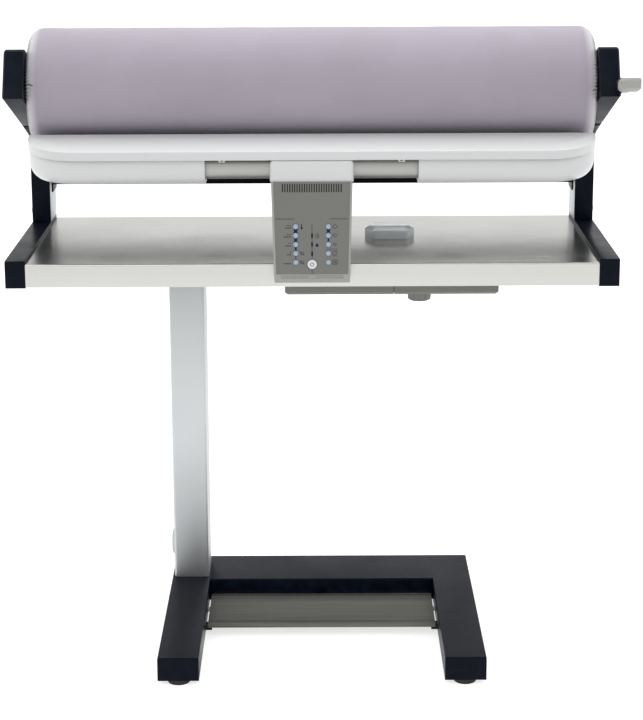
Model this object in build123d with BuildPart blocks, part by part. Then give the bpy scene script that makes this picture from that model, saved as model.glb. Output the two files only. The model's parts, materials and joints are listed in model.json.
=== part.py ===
from build123d import *
import os
from math import acos, cos, degrees, radians, sin, tan

# Flatwork ironer on a single column: a padded roll turns between two side frames, and a
# heated shoe with a feed board and a control box swings up against it from below.
# Millimetres. +X runs along the roll, +Y to the back, +Z up. The floor is Z = 0, the roll's
# axis lies over Y = 0, and X = 0 is the middle of the U-shaped base.

os.makedirs("parts", exist_ok=True)

# ---------------------------------------------------------------- driving dimensions
# Base
base_width = 500
base_depth = 416
base_front_y = -214
beam_width = 63
beam_height = 37
beam_wall = 2.5
beam_edge_radius = 2
rear_beam_depth = 106
glide_height = 8
glide_diameter = 38
glide_stud_diameter = 8
glide_stud_length = 14
glide_inset = 19
glide_flat_radius = 17
glide_waist_height = 3
glide_boss_wall = 5
rear_web_thickness = 2.5

# Column and the carrier beam on it
column_width = 57
column_depth = 80
column_wall = 3
column_corner_radius = 4
column_side_inset = 4
column_back_inset = 15
side_cap_diameter = 43
side_cap_height = 6
side_cap_bevel = 2.4
side_cap_bevel_run = 5
side_cap_z = 94
head_plate_width = 100
head_plate_depth = 110
head_plate_thickness = 8
bolt_diameter = 10
bolt_head_diameter = 17
bolt_head_height = 6.5
bolt_grip = 3
carrier_depth = 60
carrier_height = 37
carrier_wall = 3
end_plate_thickness = 6
end_plate_depth = 92
end_plate_rise = 32

# Side frames
head_x = -12
frame_gap = 854
frame_width = 30
frame_back_y = 213
arm_front_y = -144
arm_top_z = 647
arm_height = 42
arm_wall = 3
arm_nose_radius = 3
post_depth = 68
cover_wall = 3
post_wall = 2.5
post_play = 0.2
post_top_z = 760
bracket_nose_y = -110
bracket_nose_z = 885
bracket_nose_rise = 71
bracket_nose_lean = 35
bracket_back_z = 855
bracket_bend_z = 782
bracket_throat_y = 66
bracket_throat_z = 818
bracket_groove = 8
bracket_heel_y = 131
bracket_heel_z = 792
bracket_nose_radius = 10
bracket_chamfer = 2.5
bracket_plug_depth = 28
bracket_back_radius = 20
tie_bar_depth = 30
tie_bar_height = 36
tie_bar_wall = 2.5
tie_bar_z = 722
tie_bar_y = 188
tie_flange = 12

# Tray
tray_back_inset = 2
tray_top_z = 642
tray_lip = 35
tray_sheet = 1.5
tray_hem = 12
tray_bend_radius = 3
tray_side_play = 0.4
cap_x = 122
cap_y = 56
cap_width = 78
cap_flat_width = 56
cap_depth = 58
cap_side_depth = 10
cap_height = 16
cap_corner_radius = 9
cap_bevel_drop = 3.5
cap_bevel_run = 7

# Electrics housing under the tray
housing_left_x = -42
housing_seam_x = 124
housing_right_x = 283
housing_front_y = -88
housing_depth = 180
housing_bottom_z = 580
housing_wall = 2.5
housing_bevel = 4
housing_seam_gap = 0.6
knob_x = 164
knob_y = -55
knob_diameter = 37
knob_height = 15
knob_stem_diameter = 8
knob_taper = 4
knob_edge = 2
knob_flute_count = 12
knob_flute_radius = 2
knob_flute_height = 10
knob_stem_grip = 8
board_thickness = 1.6
power_board_width = 110
power_board_depth = 90
board_stand = 6
heat_sink_height = 18
board_post_inset = 7
gland_diameter = 13
gland_nut_radius = 10.5
gland_nut_length = 7
gland_cap_radius = 8
gland_length = 14
gland_bore_diameter = 7.2
gland_y = 60
gland_z = 600.5
gland_taper = 12

# Roll
roll_diameter = 180
roll_axis_z = 888
roll_end_gap = 1.5
roll_end_rounding = 14
hem_drop = 1
cover_thickness = 3
padding_thickness = 12
roll_tube_wall = 2
roll_disc_thickness = 6
hem_radius = 52
journal_diameter = 20
bearing_diameter = 42
bearing_width = 12
shaft_play = 0.05
motor_diameter = 62
motor_length = 300
motor_head_diameter = 72
motor_head_width = 16
motor_spigot_diameter = 30
motor_spigot_length = 12
drive_shaft_diameter = 16

# Shoe
shoe_opening = 3.5
shoe_contact_gap = 0.3
shoe_plate_thickness = 6
shoe_front_angle = 213.5
shoe_wrap = 101.5
shoe_end_gap = 22
shoe_edge_drop = 2
heater_diameter = 8.4
heater_play = 0.1
heater_rib_radius = 6.5
heater_shares = (0.2, 0.5, 0.8)
heater_sink = 2.27
pivot_y = 172
pivot_z = 800
pivot_pin_diameter = 16
pivot_pin_grip = 14
hub_radius = 18
hub_collar_radius = 14.4
hub_side_gap = 1
cheek_nose_run = 4
cheek_nose_rise = 24
cheek_foot_run = 30
trough_rear_drop = 12
trough_front_drop = 16
shoe_arm_thickness = 8
arm_foot_gap = 9
trough_front_y = -103
trough_back_y = 66
trough_bottom_z = 770
trough_lean = 22
trough_sheet = 2
tongue_width = 20
tongue_back_y = 118
tongue_front_y = 40

# Feed board, lower shells and cross tube
board_end_gap = 5
board_front_y = -174
board_back_y = -87
board_back_z = 828
board_slope = 8
board_rim = 13.6
board_wall = 3
board_corner_radius = 76
board_edge_radius = 2
shell_inner_x = 156
shell_inset = 2
shell_front_y = -166
shell_back_y = 75
shell_bottom_z = 763
shell_wall = 3
shell_corner_radius = 70
shell_edge_radius = 28
shell_lip = 9
tube_diameter = 40
tube_wall = 2.5
tube_y = -139.5
tube_z = 790
tube_end_inset = 62
clamp_x = 200
outer_clamp_inset = 40
clamp_width = 11
clamp_wall = 2.5
tab_x = 131
tab_width = 10
tab_thickness = 1.5
tab_foot_z = 798
tab_front_y = -163
tab_hole_diameter = 3
fit_play = 0.2

# Control box
control_front_y = -175
box_top_z = 771
box_bottom_z = 620
box_top_width = 119
box_bottom_width = 111.5
box_depth = 27
box_wall = 2.5
box_edge_radius = 2.5
box_front_radius = 2
saddle_width = 122
saddle_top_z = 802
saddle_front_y = -173
saddle_back_y = -117
saddle_wall = 4
saddle_edge_radius = 6
catch_width = 11
catch_height = 4.2
catch_rise = 1.4
catch_side_angle = 70
catch_z = 627.5
fascia_margin = 3.2
fascia_thickness = 2
fascia_bottom_z = 633
slot_count = 25
slot_pitch = 3.56
slot_width = 1.7
slot_height = 12.6
slot_z = 762
strip_hole_pitch = 2.9
strip_inset_x = 8.9
strip_hole_size = 1.3
strip_rows = 2
key_column_offset = 23.9
key_count = 5
key_top_z = 704.7
key_pitch = 13.4
key_diameter = 8
key_play = 0.25
key_stand = 0.8
key_edge = 0.4
fascia_play = 0.2
switch_size = 6
switch_height = 3
circuit_post_inset = 8
key_stem = 5
key_collar = 1.2
power_button_z = 648
power_button_diameter = 13.8
circuit_board_depth = 10

# Release lever
lever_y = -92
lever_z = 896
lever_pin_diameter = 8
lever_pin_head_radius = 6
lever_pin_grip = 8
lever_hub_radius = 9
lever_side_gap = 1
lever_thickness = 9
paddle_width = 34
paddle_overhang = 25
paddle_bottom_z = 894
paddle_height = 20
paddle_front_y = -132
paddle_depth = 12
paddle_chamfer = 5
paddle_corner_radius = 7
paddle_bevel = 6
paddle_edge = 2.5

# Lift cam and its gear motor
cam_y = 104
cam_turn = 150
cam_base_radius = 14
cam_gap = 0.5
cam_width = 14
cam_shaft_diameter = 10
cam_shaft_grip = 18
cam_steps = 6
gearbox_gap = 3
gearbox_width = 30
gearbox_depth = 46
gearbox_height = 38
lift_motor_diameter = 36
lift_motor_length = 70
bracket_foot_thickness = 5

# Foot pedal
pedal_depth = 122
pedal_back_gap = 10
pedal_top_z = 24
pedal_thickness = 8
pedal_sheet = 2.5
pedal_side_gap = 4
pedal_axis_inset = 52
pedal_axis_z = 17.5
pedal_boss_radius = 6
pedal_boss_width = 9
pedal_pin_diameter = 8
pedal_pin_grip = 8
pin_end_gap = 0.5
pin_tail = 2
pedal_travel = 3
pedal_rib_count = 5
ridge_depth = 0.8
ridge_width = 1.6
ridge_pitch = 4
ridge_inset = 5
strip_inset = 9
stop_length = 14
stop_width = 10
stop_height = 3
stop_inset = 6
stop_leg_top = 2
stop_clearance = 0.3
switch_length = 22
switch_reach = 26
switch_gap = 2
plunger_radius = 2.5

# ---------------------------------------------------------------- derived places
base_back_y = base_front_y + base_depth
base_top_z = glide_height + beam_height
base_inner = base_width / 2 - beam_width
column_x = column_side_inset + column_width / 2 - base_width / 2
column_y = base_back_y - column_back_inset - column_depth / 2
frame_inner = frame_gap / 2
frame_outer = frame_inner + frame_width
arm_bottom_z = arm_top_z - arm_height
post_front_y = frame_back_y - post_depth
post_y = (post_front_y + frame_back_y) / 2
tray_front_y = arm_front_y
tray_back_y = frame_back_y - tray_back_inset
head_plate_top_z = arm_bottom_z - carrier_height
column_top_z = head_plate_top_z - head_plate_thickness
roll_radius = roll_diameter / 2
roll_half_length = frame_inner - roll_end_gap
shoe_half_width = frame_inner - shoe_end_gap
board_half_width = frame_inner - board_end_gap
tube_half_length = board_half_width - tube_end_inset
outer_clamp_x = tube_half_length - outer_clamp_inset
padding_radius = roll_radius - cover_thickness
tube_outer_radius = padding_radius - padding_thickness
tube_inner_radius = tube_outer_radius - roll_tube_wall
rear_beam_front_y = base_back_y - rear_beam_depth
pedal_back_y = rear_beam_front_y - pedal_back_gap
pedal_front_y = pedal_back_y - pedal_depth
pedal_axis_y = pedal_back_y - pedal_axis_inset
head_middle = Plane.YZ.offset(head_x)
control_front = Plane.XZ.offset(-control_front_y)


def across(x):
    """Plane across the roll, x to the right of the head's middle; local x is Y, local y is Z."""
    return Plane.YZ.offset(head_x + x)


def swing(y, z, angle):
    """Turns a point about the shoe's rear pivot; a positive angle lowers the front."""
    dy, dz, a = y - pivot_y, z - pivot_z, radians(angle)
    return (pivot_y + dy * cos(a) - dz * sin(a), pivot_z + dy * sin(a) + dz * cos(a))


# At rest the shoe stands open, so the centre of its bore has swung away from the roll's axis
shoe_centre = swing(0, roll_axis_z, shoe_opening)
shoe_bore_radius = roll_radius + shoe_contact_gap
shoe_outer_radius = shoe_bore_radius + shoe_plate_thickness


def on_shoe(radius, angle):
    """Point at an angle about the centre of the shoe's bore, as (Y, Z)."""
    a = radians(angle)
    return (shoe_centre[0] + radius * cos(a), shoe_centre[1] + radius * sin(a))


# ---------------------------------------------------------------- base
# Each beam is a folded channel, open at the bottom, with a boss over every glide
glide_x = (base_width - beam_width) / 2
glide_front_y = base_front_y + glide_inset
glide_back_y = base_back_y - glide_inset
glide_places = [(x, y) for x in (-glide_x, glide_x) for y in (glide_front_y, glide_back_y)]
boss_radius = glide_stud_diameter / 2 + glide_boss_wall

for side, name in ((-1, "base_left_beam"), (1, "base_right_beam")):
    with BuildPart() as beam:
        with BuildSketch(Plane.XY.offset(glide_height)):
            with Locations((side * glide_x, base_front_y + base_depth / 2)):
                Rectangle(beam_width, base_depth)
        extrude(amount=beam_height)
        top = beam.faces().sort_by(Axis.Z)[-1]
        outer_edge = top.edges().filter_by(Axis.Y).sort_by(Axis.X)[0 if side < 0 else -1]
        end_edges = top.edges().filter_by(Axis.X)
        fillet([outer_edge] + end_edges, beam_edge_radius)
        offset(amount=-beam_wall, openings=beam.faces().sort_by(Axis.Z)[0])
        with BuildSketch(Plane.XY.offset(glide_height)):
            with Locations((side * glide_x, glide_front_y), (side * glide_x, glide_back_y)):
                Circle(boss_radius)
        extrude(amount=beam_height - beam_wall)
        with BuildSketch(Plane.XY.offset(glide_height)):
            with Locations((side * glide_x, glide_front_y), (side * glide_x, glide_back_y)):
                Circle(glide_stud_diameter / 2 + shaft_play)
        extrude(amount=glide_stud_length + 1, mode=Mode.SUBTRACT)
        # bore for the pedal's pin through the inner wall
        with BuildSketch(Plane.YZ.offset(side * base_inner)):
            with Locations((pedal_axis_y, pedal_axis_z)):
                Circle(pedal_pin_diameter / 2 + shaft_play)
        extrude(amount=side * beam_wall, mode=Mode.SUBTRACT)
    beam.part.label = name
    export_step(beam.part, f"parts/{name}.step")

with BuildPart() as base_rear_beam:
    with BuildSketch(Plane.XY.offset(glide_height)):
        with Locations((0, base_back_y - rear_beam_depth / 2)):
            Rectangle(2 * base_inner, rear_beam_depth)
    extrude(amount=beam_height)
    long_edges = base_rear_beam.faces().sort_by(Axis.Z)[-1].edges().filter_by(Axis.X)
    fillet(long_edges, beam_edge_radius)
    offset(amount=-beam_wall, openings=base_rear_beam.faces().sort_by(Axis.Z)[0])
    # web that stiffens the channel from below
    with BuildSketch(Plane.XY.offset(glide_height)):
        with Locations((0, base_back_y - rear_beam_depth / 2)):
            Rectangle(2 * base_inner - beam_wall, rear_web_thickness)
    extrude(amount=beam_height - beam_wall)
base_rear_beam.part.label = "base_rear_beam"
export_step(base_rear_beam.part, "parts/base_rear_beam.step")

with BuildPart() as rubber_glides:
    with BuildSketch(Plane.XZ):
        with BuildLine():
            rim = glide_diameter / 2
            Polyline(
                (0, 0),
                (glide_flat_radius, 0),
                (rim - beam_wall / 2, glide_waist_height),
                (rim, glide_height),
                (glide_stud_diameter / 2, glide_height),
            )
            Polyline(
                (glide_stud_diameter / 2, glide_height),
                (glide_stud_diameter / 2, glide_height + glide_stud_length),
                (0, glide_height + glide_stud_length),
                (0, 0),
            )
        make_face()
    glide = revolve(axis=Axis.Z, mode=Mode.PRIVATE)
    with Locations(*glide_places):
        add(glide)
rubber_glides.part.label = "rubber_glides"
export_step(rubber_glides.part, "parts/rubber_glides.step")

# ---------------------------------------------------------------- column and carrier
with BuildPart() as column:
    with BuildSketch(Plane.XY.offset(base_top_z)):
        with Locations((column_x, column_y)):
            RectangleRounded(column_width, column_depth, column_corner_radius)
            RectangleRounded(
                column_width - 2 * column_wall,
                column_depth - 2 * column_wall,
                column_corner_radius - column_wall,
                mode=Mode.SUBTRACT,
            )
    extrude(amount=column_top_z - base_top_z)
column.part.label = "column"
export_step(column.part, "parts/column.step")

with BuildPart() as column_side_cap:
    with BuildSketch(Plane.YZ.offset(column_x - column_width / 2)):
        with Locations((column_y, side_cap_z)):
            Circle(side_cap_diameter / 2)
    extrude(amount=-side_cap_height)
    rim_edges = column_side_cap.faces().sort_by(Axis.X)[0].edges()
    chamfer(rim_edges, side_cap_bevel, side_cap_bevel_run)
column_side_cap.part.label = "column_side_cap"
export_step(column_side_cap.part, "parts/column_side_cap.step")

bolt_spread_x = column_width / 2 + bolt_head_diameter / 2 + 2
bolt_spread_y = carrier_depth / 2 - carrier_wall - bolt_diameter / 2
carrier_y = column_y
bolt_places = [
    (column_x + sx * bolt_spread_x, carrier_y + sy * bolt_spread_y) for sx in (-1, 1) for sy in (-1, 1)
]

with BuildPart() as column_head_plate:
    with BuildSketch(Plane.XY.offset(column_top_z)):
        with Locations((column_x, column_y)):
            RectangleRounded(head_plate_width, head_plate_depth, column_corner_radius)
        with Locations(*bolt_places):
            Circle(bolt_diameter / 2 + fit_play, mode=Mode.SUBTRACT)
    extrude(amount=head_plate_thickness)
column_head_plate.part.label = "column_head_plate"
export_step(column_head_plate.part, "parts/column_head_plate.step")

with BuildPart() as column_bolts:
    with BuildSketch(Plane.XY.offset(column_top_z - bolt_head_height)):
        with Locations(*bolt_places):
            RegularPolygon(bolt_head_diameter / 2, 6)
    extrude(amount=bolt_head_height)
    with BuildSketch(Plane.XY.offset(column_top_z)):
        with Locations(*bolt_places):
            Circle(bolt_diameter / 2)
    extrude(amount=head_plate_thickness + carrier_wall + bolt_grip)
column_bolts.part.label = "column_bolts"
export_step(column_bolts.part, "parts/column_bolts.step")

# Square tube across the head, with an end plate against each tray arm
carrier_half_length = frame_inner - end_plate_thickness
with BuildPart() as head_carrier:
    with BuildSketch(across(-carrier_half_length)):
        with Locations((carrier_y, head_plate_top_z + carrier_height / 2)):
            Rectangle(carrier_depth, carrier_height)
            Rectangle(
                carrier_depth - 2 * carrier_wall, carrier_height - 2 * carrier_wall, mode=Mode.SUBTRACT
            )
    extrude(amount=2 * carrier_half_length)
    for side in (-1, 1):
        with BuildSketch(across(side * carrier_half_length)):
            with Locations((carrier_y, head_plate_top_z + (carrier_height + end_plate_rise) / 2)):
                RectangleRounded(end_plate_depth, carrier_height + end_plate_rise, column_corner_radius)
        extrude(amount=side * end_plate_thickness)
    with BuildSketch(Plane.XY.offset(head_plate_top_z)):
        with Locations(*bolt_places):
            Circle(bolt_diameter / 2 + fit_play)
    extrude(amount=carrier_wall, mode=Mode.SUBTRACT)
head_carrier.part.label = "head_carrier"
export_step(head_carrier.part, "parts/head_carrier.step")

# ---------------------------------------------------------------- side frames
with BuildPart() as tray_arms:
    with BuildSketch(across(frame_inner)):
        with Locations(((arm_front_y + frame_back_y) / 2, arm_top_z - arm_height / 2)):
            Rectangle(frame_back_y - arm_front_y, arm_height)
    extrude(amount=frame_width)
    nose_edges = tray_arms.edges().filter_by(Axis.X).group_by(Axis.Y)[0]
    fillet(nose_edges, arm_nose_radius)
    offset(amount=-arm_wall, openings=tray_arms.faces().sort_by(Axis.Z)[0])
    mirror(about=head_middle)
tray_arms.part.label = "tray_arms"
export_step(tray_arms.part, "parts/tray_arms.step")

# The bright post is a tube; its dark cover wraps the front, the outside and the back
post_width = frame_width - cover_wall - post_play
post_tube_depth = post_depth - 2 * (cover_wall + post_play)
post_x = head_x + frame_inner + post_width / 2
with BuildPart() as posts:
    with BuildSketch(Plane.XY.offset(arm_top_z)):
        with Locations((post_x, post_y)):
            Rectangle(post_width, post_tube_depth)
            Rectangle(post_width - 2 * post_wall, post_tube_depth - 2 * post_wall, mode=Mode.SUBTRACT)
    extrude(amount=post_top_z - arm_top_z)
    mirror(about=head_middle)
posts.part.label = "posts"
export_step(posts.part, "parts/posts.step")

with BuildPart() as post_covers:
    with BuildSketch(Plane.XY.offset(arm_top_z)):
        with Locations((head_x + frame_inner + frame_width / 2, post_y)):
            Rectangle(frame_width, post_depth)
        with Locations((head_x + frame_inner + (frame_width - cover_wall) / 2, post_y)):
            Rectangle(frame_width - cover_wall, post_depth - 2 * cover_wall, mode=Mode.SUBTRACT)
    extrude(amount=post_top_z - arm_top_z)
    mirror(about=head_middle)
post_covers.part.label = "post_covers"
export_step(post_covers.part, "parts/post_covers.step")

# Each bracket rises from its post and leans forward to hold one end of the roll
bracket_top_nose = (bracket_nose_y + bracket_nose_lean, bracket_nose_z + bracket_nose_rise)
heel_slope = (bracket_throat_z - bracket_heel_z) / (bracket_heel_y - bracket_throat_y)
bracket_groove_drop = bracket_groove * heel_slope
plug_width = post_width - 2 * (post_wall + post_play)
plug_length = post_tube_depth - 2 * (post_wall + post_play)
for side, name in ((-1, "left_roll_bracket"), (1, "right_roll_bracket")):
    with BuildPart() as roll_bracket:
        with BuildSketch(across(side * frame_inner)):
            with BuildLine():
                Polyline(
                    (post_front_y, post_top_z),
                    (post_front_y, bracket_bend_z),
                    (bracket_heel_y, bracket_heel_z),
                    (bracket_throat_y + bracket_groove, bracket_throat_z - bracket_groove_drop),
                    (bracket_throat_y + bracket_groove, bracket_throat_z + bracket_groove),
                    (bracket_throat_y, bracket_throat_z + bracket_groove),
                    (bracket_throat_y, bracket_throat_z),
                    (bracket_nose_y, bracket_nose_z),
                    bracket_top_nose,
                    (frame_back_y, bracket_back_z),
                    (frame_back_y, post_top_z),
                    close=True,
                )
            make_face()
            nose_corners = vertices().sort_by_distance(Vertex(*bracket_top_nose, 0))[0]
            fillet(nose_corners, bracket_nose_radius)
            back_corner = vertices().sort_by_distance(Vertex(frame_back_y, bracket_back_z, 0))[0]
            fillet(back_corner, bracket_back_radius)
        extrude(amount=side * frame_width)
        outer_face = roll_bracket.faces().filter_by(Axis.X).sort_by(Axis.X)[-1 if side > 0 else 0]
        rim_edges = outer_face.edges().filter_by(lambda edge: edge.center().Z > post_top_z + 1)
        chamfer(rim_edges, bracket_chamfer)
        # plug down into the post
        with BuildSketch(Plane.XY.offset(post_top_z)):
            with Locations((head_x + side * (frame_inner + post_width / 2), post_y)):
                Rectangle(plug_width, plug_length)
        extrude(amount=-bracket_plug_depth)
        # blind bore for the shoe's pivot pin
        with BuildSketch(across(side * frame_inner)):
            with Locations((pivot_y, pivot_z)):
                Circle(pivot_pin_diameter / 2 + shaft_play)
        extrude(amount=side * pivot_pin_grip, mode=Mode.SUBTRACT)
        # seat of the bearing at the left, of the motor's spigot at the right
        seat_diameter = bearing_diameter if side < 0 else motor_spigot_diameter
        seat_depth = bearing_width if side < 0 else motor_spigot_length
        with BuildSketch(across(side * frame_inner)):
            with Locations((0, roll_axis_z)):
                Circle(seat_diameter / 2 + shaft_play)
        extrude(amount=side * seat_depth, mode=Mode.SUBTRACT)
        if side > 0:
            with BuildSketch(across(frame_outer - lever_pin_grip)):
                with Locations((lever_y, lever_z)):
                    Circle(lever_pin_diameter / 2 + shaft_play)
            extrude(amount=lever_pin_grip, mode=Mode.SUBTRACT)
    roll_bracket.part.label = name
    export_step(roll_bracket.part, f"parts/{name}.step")

with BuildPart() as rear_tie_bar:
    with BuildSketch(across(-frame_inner)):
        with Locations((tie_bar_y, tie_bar_z)):
            Rectangle(tie_bar_depth, tie_bar_height)
            Rectangle(
                tie_bar_depth - 2 * tie_bar_wall, tie_bar_height - 2 * tie_bar_wall, mode=Mode.SUBTRACT
            )
    extrude(amount=frame_gap)
    for side in (-1, 1):
        with BuildSketch(across(side * frame_inner)):
            with Locations((tie_bar_y, tie_bar_z)):
                Rectangle(tie_bar_depth + tie_flange, tie_bar_height + 2 * tie_flange)
        extrude(amount=-side * tie_bar_wall)
rear_tie_bar.part.label = "rear_tie_bar"
export_step(rear_tie_bar.part, "parts/rear_tie_bar.step")

# ---------------------------------------------------------------- tray
tray_half_width = frame_inner - tray_side_play
tray_bottom_z = tray_top_z - tray_lip
notch_play = 2
with BuildPart() as tray:
    with BuildSketch(Plane.XY.offset(tray_top_z)):
        with Locations((head_x, (tray_front_y + tray_back_y) / 2)):
            Rectangle(2 * tray_half_width, tray_back_y - tray_front_y)
    extrude(amount=-tray_lip)
    bend_edges = tray.edges().filter_by(Axis.X).group_by(Axis.Z)[-1].sort_by(Axis.Y)
    fillet(bend_edges, tray_bend_radius)
    offset(amount=-tray_sheet, openings=tray.faces().sort_by(Axis.Z)[0])
    # returned hem along the foot of the front lip
    with BuildSketch(Plane.XY.offset(tray_bottom_z)):
        with Locations((head_x, tray_front_y + tray_hem / 2)):
            Rectangle(2 * tray_half_width, tray_hem)
    extrude(amount=tray_sheet)
    # the side walls leave room for the carrier's end plates
    with BuildSketch(Plane.XY.offset(tray_bottom_z)):
        with Locations((head_x, carrier_y)):
            Rectangle(2 * frame_inner, end_plate_depth + 2 * notch_play)
    extrude(amount=tray_lip - tray_sheet - tray_bend_radius, mode=Mode.SUBTRACT)
tray.part.label = "tray"
export_step(tray.part, "parts/tray.step")

cap_centre_x = head_x + cap_x
with BuildPart() as tray_cap:
    with BuildSketch(Plane.XY.offset(tray_top_z)):
        with BuildLine():
            Polyline(
                (cap_centre_x - cap_flat_width / 2, cap_y - cap_depth / 2),
                (cap_centre_x + cap_flat_width / 2, cap_y - cap_depth / 2),
                (cap_centre_x + cap_width / 2, cap_y - cap_side_depth / 2),
                (cap_centre_x + cap_width / 2, cap_y + cap_side_depth / 2),
                (cap_centre_x + cap_flat_width / 2, cap_y + cap_depth / 2),
                (cap_centre_x - cap_flat_width / 2, cap_y + cap_depth / 2),
                (cap_centre_x - cap_width / 2, cap_y + cap_side_depth / 2),
                (cap_centre_x - cap_width / 2, cap_y - cap_side_depth / 2),
                close=True,
            )
        make_face()
        fillet(vertices(), cap_corner_radius)
    extrude(amount=cap_height)
    top_edges = tray_cap.faces().sort_by(Axis.Z)[-1].edges()
    chamfer(top_edges, cap_bevel_drop, cap_bevel_run)
tray_cap.part.label = "tray_cap"
export_step(tray_cap.part, "parts/tray_cap.step")

# ---------------------------------------------------------------- electrics under the tray
# Two halves of one moulded tub hang under the tray and meet at a seam
housing_top_z = tray_top_z - tray_sheet
housing_parts = (
    ("electrics_housing_left", housing_left_x, housing_seam_x - housing_seam_gap / 2, -1),
    ("electrics_housing_right", housing_seam_x + housing_seam_gap / 2, housing_right_x, 1),
)
for name, x_left, x_right, side in housing_parts:
    with BuildPart() as electrics_housing:
        with BuildSketch(Plane.XY.offset(housing_bottom_z)):
            with Locations((head_x + (x_left + x_right) / 2, housing_front_y + housing_depth / 2)):
                Rectangle(x_right - x_left, housing_depth)
        extrude(amount=housing_top_z - housing_bottom_z)
        foot = electrics_housing.faces().sort_by(Axis.Z)[0]
        end_edge = foot.edges().filter_by(Axis.Y).sort_by(Axis.X)[-1 if side > 0 else 0]
        long_foot_edges = foot.edges().filter_by(Axis.X)
        chamfer([end_edge] + long_foot_edges, housing_bevel)
        offset(amount=-housing_wall, openings=electrics_housing.faces().sort_by(Axis.Z)[-1])
        if side > 0:
            with BuildSketch(Plane.XY.offset(housing_bottom_z)):
                with Locations((head_x + knob_x, knob_y)):
                    Circle(knob_stem_diameter / 2 + shaft_play)
            extrude(amount=housing_wall, mode=Mode.SUBTRACT)
        else:
            with BuildSketch(across(housing_left_x)):
                with Locations((gland_y, gland_z)):
                    Circle(gland_diameter / 2 + fit_play)
            extrude(amount=housing_wall, mode=Mode.SUBTRACT)
    electrics_housing.part.label = name
    export_step(electrics_housing.part, f"parts/{name}.step")

with BuildPart() as cord_gland:
    with BuildSketch(across(housing_left_x)):
        with Locations((gland_y, gland_z)):
            RegularPolygon(gland_nut_radius, 6)
    extrude(amount=-gland_nut_length)
    with BuildSketch(across(housing_left_x)):
        with Locations((gland_y, gland_z)):
            Circle(gland_diameter / 2)
    extrude(amount=housing_wall * 2)
    with BuildSketch(across(housing_left_x - gland_nut_length)):
        with Locations((gland_y, gland_z)):
            Circle(gland_cap_radius)
    extrude(amount=-(gland_length - gland_nut_length), taper=gland_taper)
    with BuildSketch(across(housing_left_x + housing_wall * 2)):
        with Locations((gland_y, gland_z)):
            Circle(gland_bore_diameter / 2)
    extrude(amount=-gland_length - housing_wall * 2, mode=Mode.SUBTRACT)
cord_gland.part.label = "cord_gland"
export_step(cord_gland.part, "parts/cord_gland.step")

power_board_x = head_x + (housing_left_x + housing_seam_x) / 2
board_floor_z = housing_bottom_z + housing_wall
board_post_pitch_x = power_board_width - 2 * board_post_inset
board_post_pitch_y = power_board_depth - 2 * board_post_inset
with BuildPart() as power_board:
    with BuildSketch(Plane.XY.offset(board_floor_z + board_stand)):
        with Locations((power_board_x, housing_front_y + housing_depth / 2)):
            Rectangle(power_board_width, power_board_depth)
    extrude(amount=board_thickness)
    with BuildSketch(Plane.XY.offset(board_floor_z)):
        with Locations((power_board_x, housing_front_y + housing_depth / 2)):
            with GridLocations(board_post_pitch_x, board_post_pitch_y, 2, 2):
                Circle(board_stand / 2)
    extrude(amount=board_stand)
    with BuildSketch(Plane.XY.offset(board_floor_z + board_stand + board_thickness)):
        with Locations((power_board_x - power_board_width / 5, housing_front_y + housing_depth / 2)):
            Rectangle(power_board_width / 3, power_board_depth / 2)
    extrude(amount=heat_sink_height)
power_board.part.label = "power_board"
export_step(power_board.part, "parts/power_board.step")

with BuildPart() as knob:
    with BuildSketch(Plane.XY.offset(housing_bottom_z - shaft_play)):
        with Locations((head_x + knob_x, knob_y)):
            Circle(knob_diameter / 2)
    extrude(amount=-knob_height, taper=knob_taper)
    rim_edges = knob.faces().sort_by(Axis.Z)[0].edges()
    chamfer(rim_edges, knob_edge)
    with BuildSketch(Plane.XY.offset(housing_bottom_z - shaft_play)):
        with Locations((head_x + knob_x, knob_y)):
            Circle(knob_stem_diameter / 2)
    extrude(amount=housing_wall + knob_stem_grip)
    with BuildSketch(Plane.XY.offset(housing_bottom_z - knob_height)):
        with Locations((head_x + knob_x, knob_y)):
            with PolarLocations(knob_diameter / 2, knob_flute_count):
                Circle(knob_flute_radius)
    extrude(amount=knob_flute_height, mode=Mode.SUBTRACT)
knob.part.label = "knob"
export_step(knob.part, "parts/knob.step")

# ---------------------------------------------------------------- roll
# Steel tube with an end disc and journal at the left; the tubular motor fills the right end
disc_outer_x = roll_half_length - roll_end_rounding / 2
with BuildPart() as roll_tube:
    with BuildSketch(across(-disc_outer_x)):
        with Locations((0, roll_axis_z)):
            Circle(tube_outer_radius)
            Circle(tube_inner_radius, mode=Mode.SUBTRACT)
    extrude(amount=2 * disc_outer_x)
roll_tube.part.label = "roll_tube"
export_step(roll_tube.part, "parts/roll_tube.step")

motor_head_x = disc_outer_x
motor_inner_x = motor_head_x - motor_head_width - motor_length
disc_radius = tube_inner_radius - shaft_play
with BuildPart() as roll_discs:
    with BuildSketch(across(-disc_outer_x)):
        with Locations((0, roll_axis_z)):
            Circle(disc_radius)
    extrude(amount=roll_disc_thickness)
    with BuildSketch(across(-disc_outer_x)):
        with Locations((0, roll_axis_z)):
            Circle(journal_diameter / 2)
    extrude(amount=-(frame_inner + bearing_width - disc_outer_x))
    # ring that runs on the motor's head
    with BuildSketch(across(disc_outer_x)):
        with Locations((0, roll_axis_z)):
            Circle(disc_radius)
            Circle(motor_head_diameter / 2 + shaft_play, mode=Mode.SUBTRACT)
    extrude(amount=-roll_disc_thickness)
    # drive wheel on the motor's shaft
    with BuildSketch(across(motor_inner_x - roll_disc_thickness)):
        with Locations((0, roll_axis_z)):
            Circle(disc_radius)
    extrude(amount=-roll_disc_thickness)
    with BuildSketch(across(motor_inner_x - roll_disc_thickness)):
        with Locations((0, roll_axis_z)):
            Circle(drive_shaft_diameter / 2)
    extrude(amount=roll_disc_thickness * 3)
roll_discs.part.label = "roll_discs"
export_step(roll_discs.part, "parts/roll_discs.step")

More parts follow.
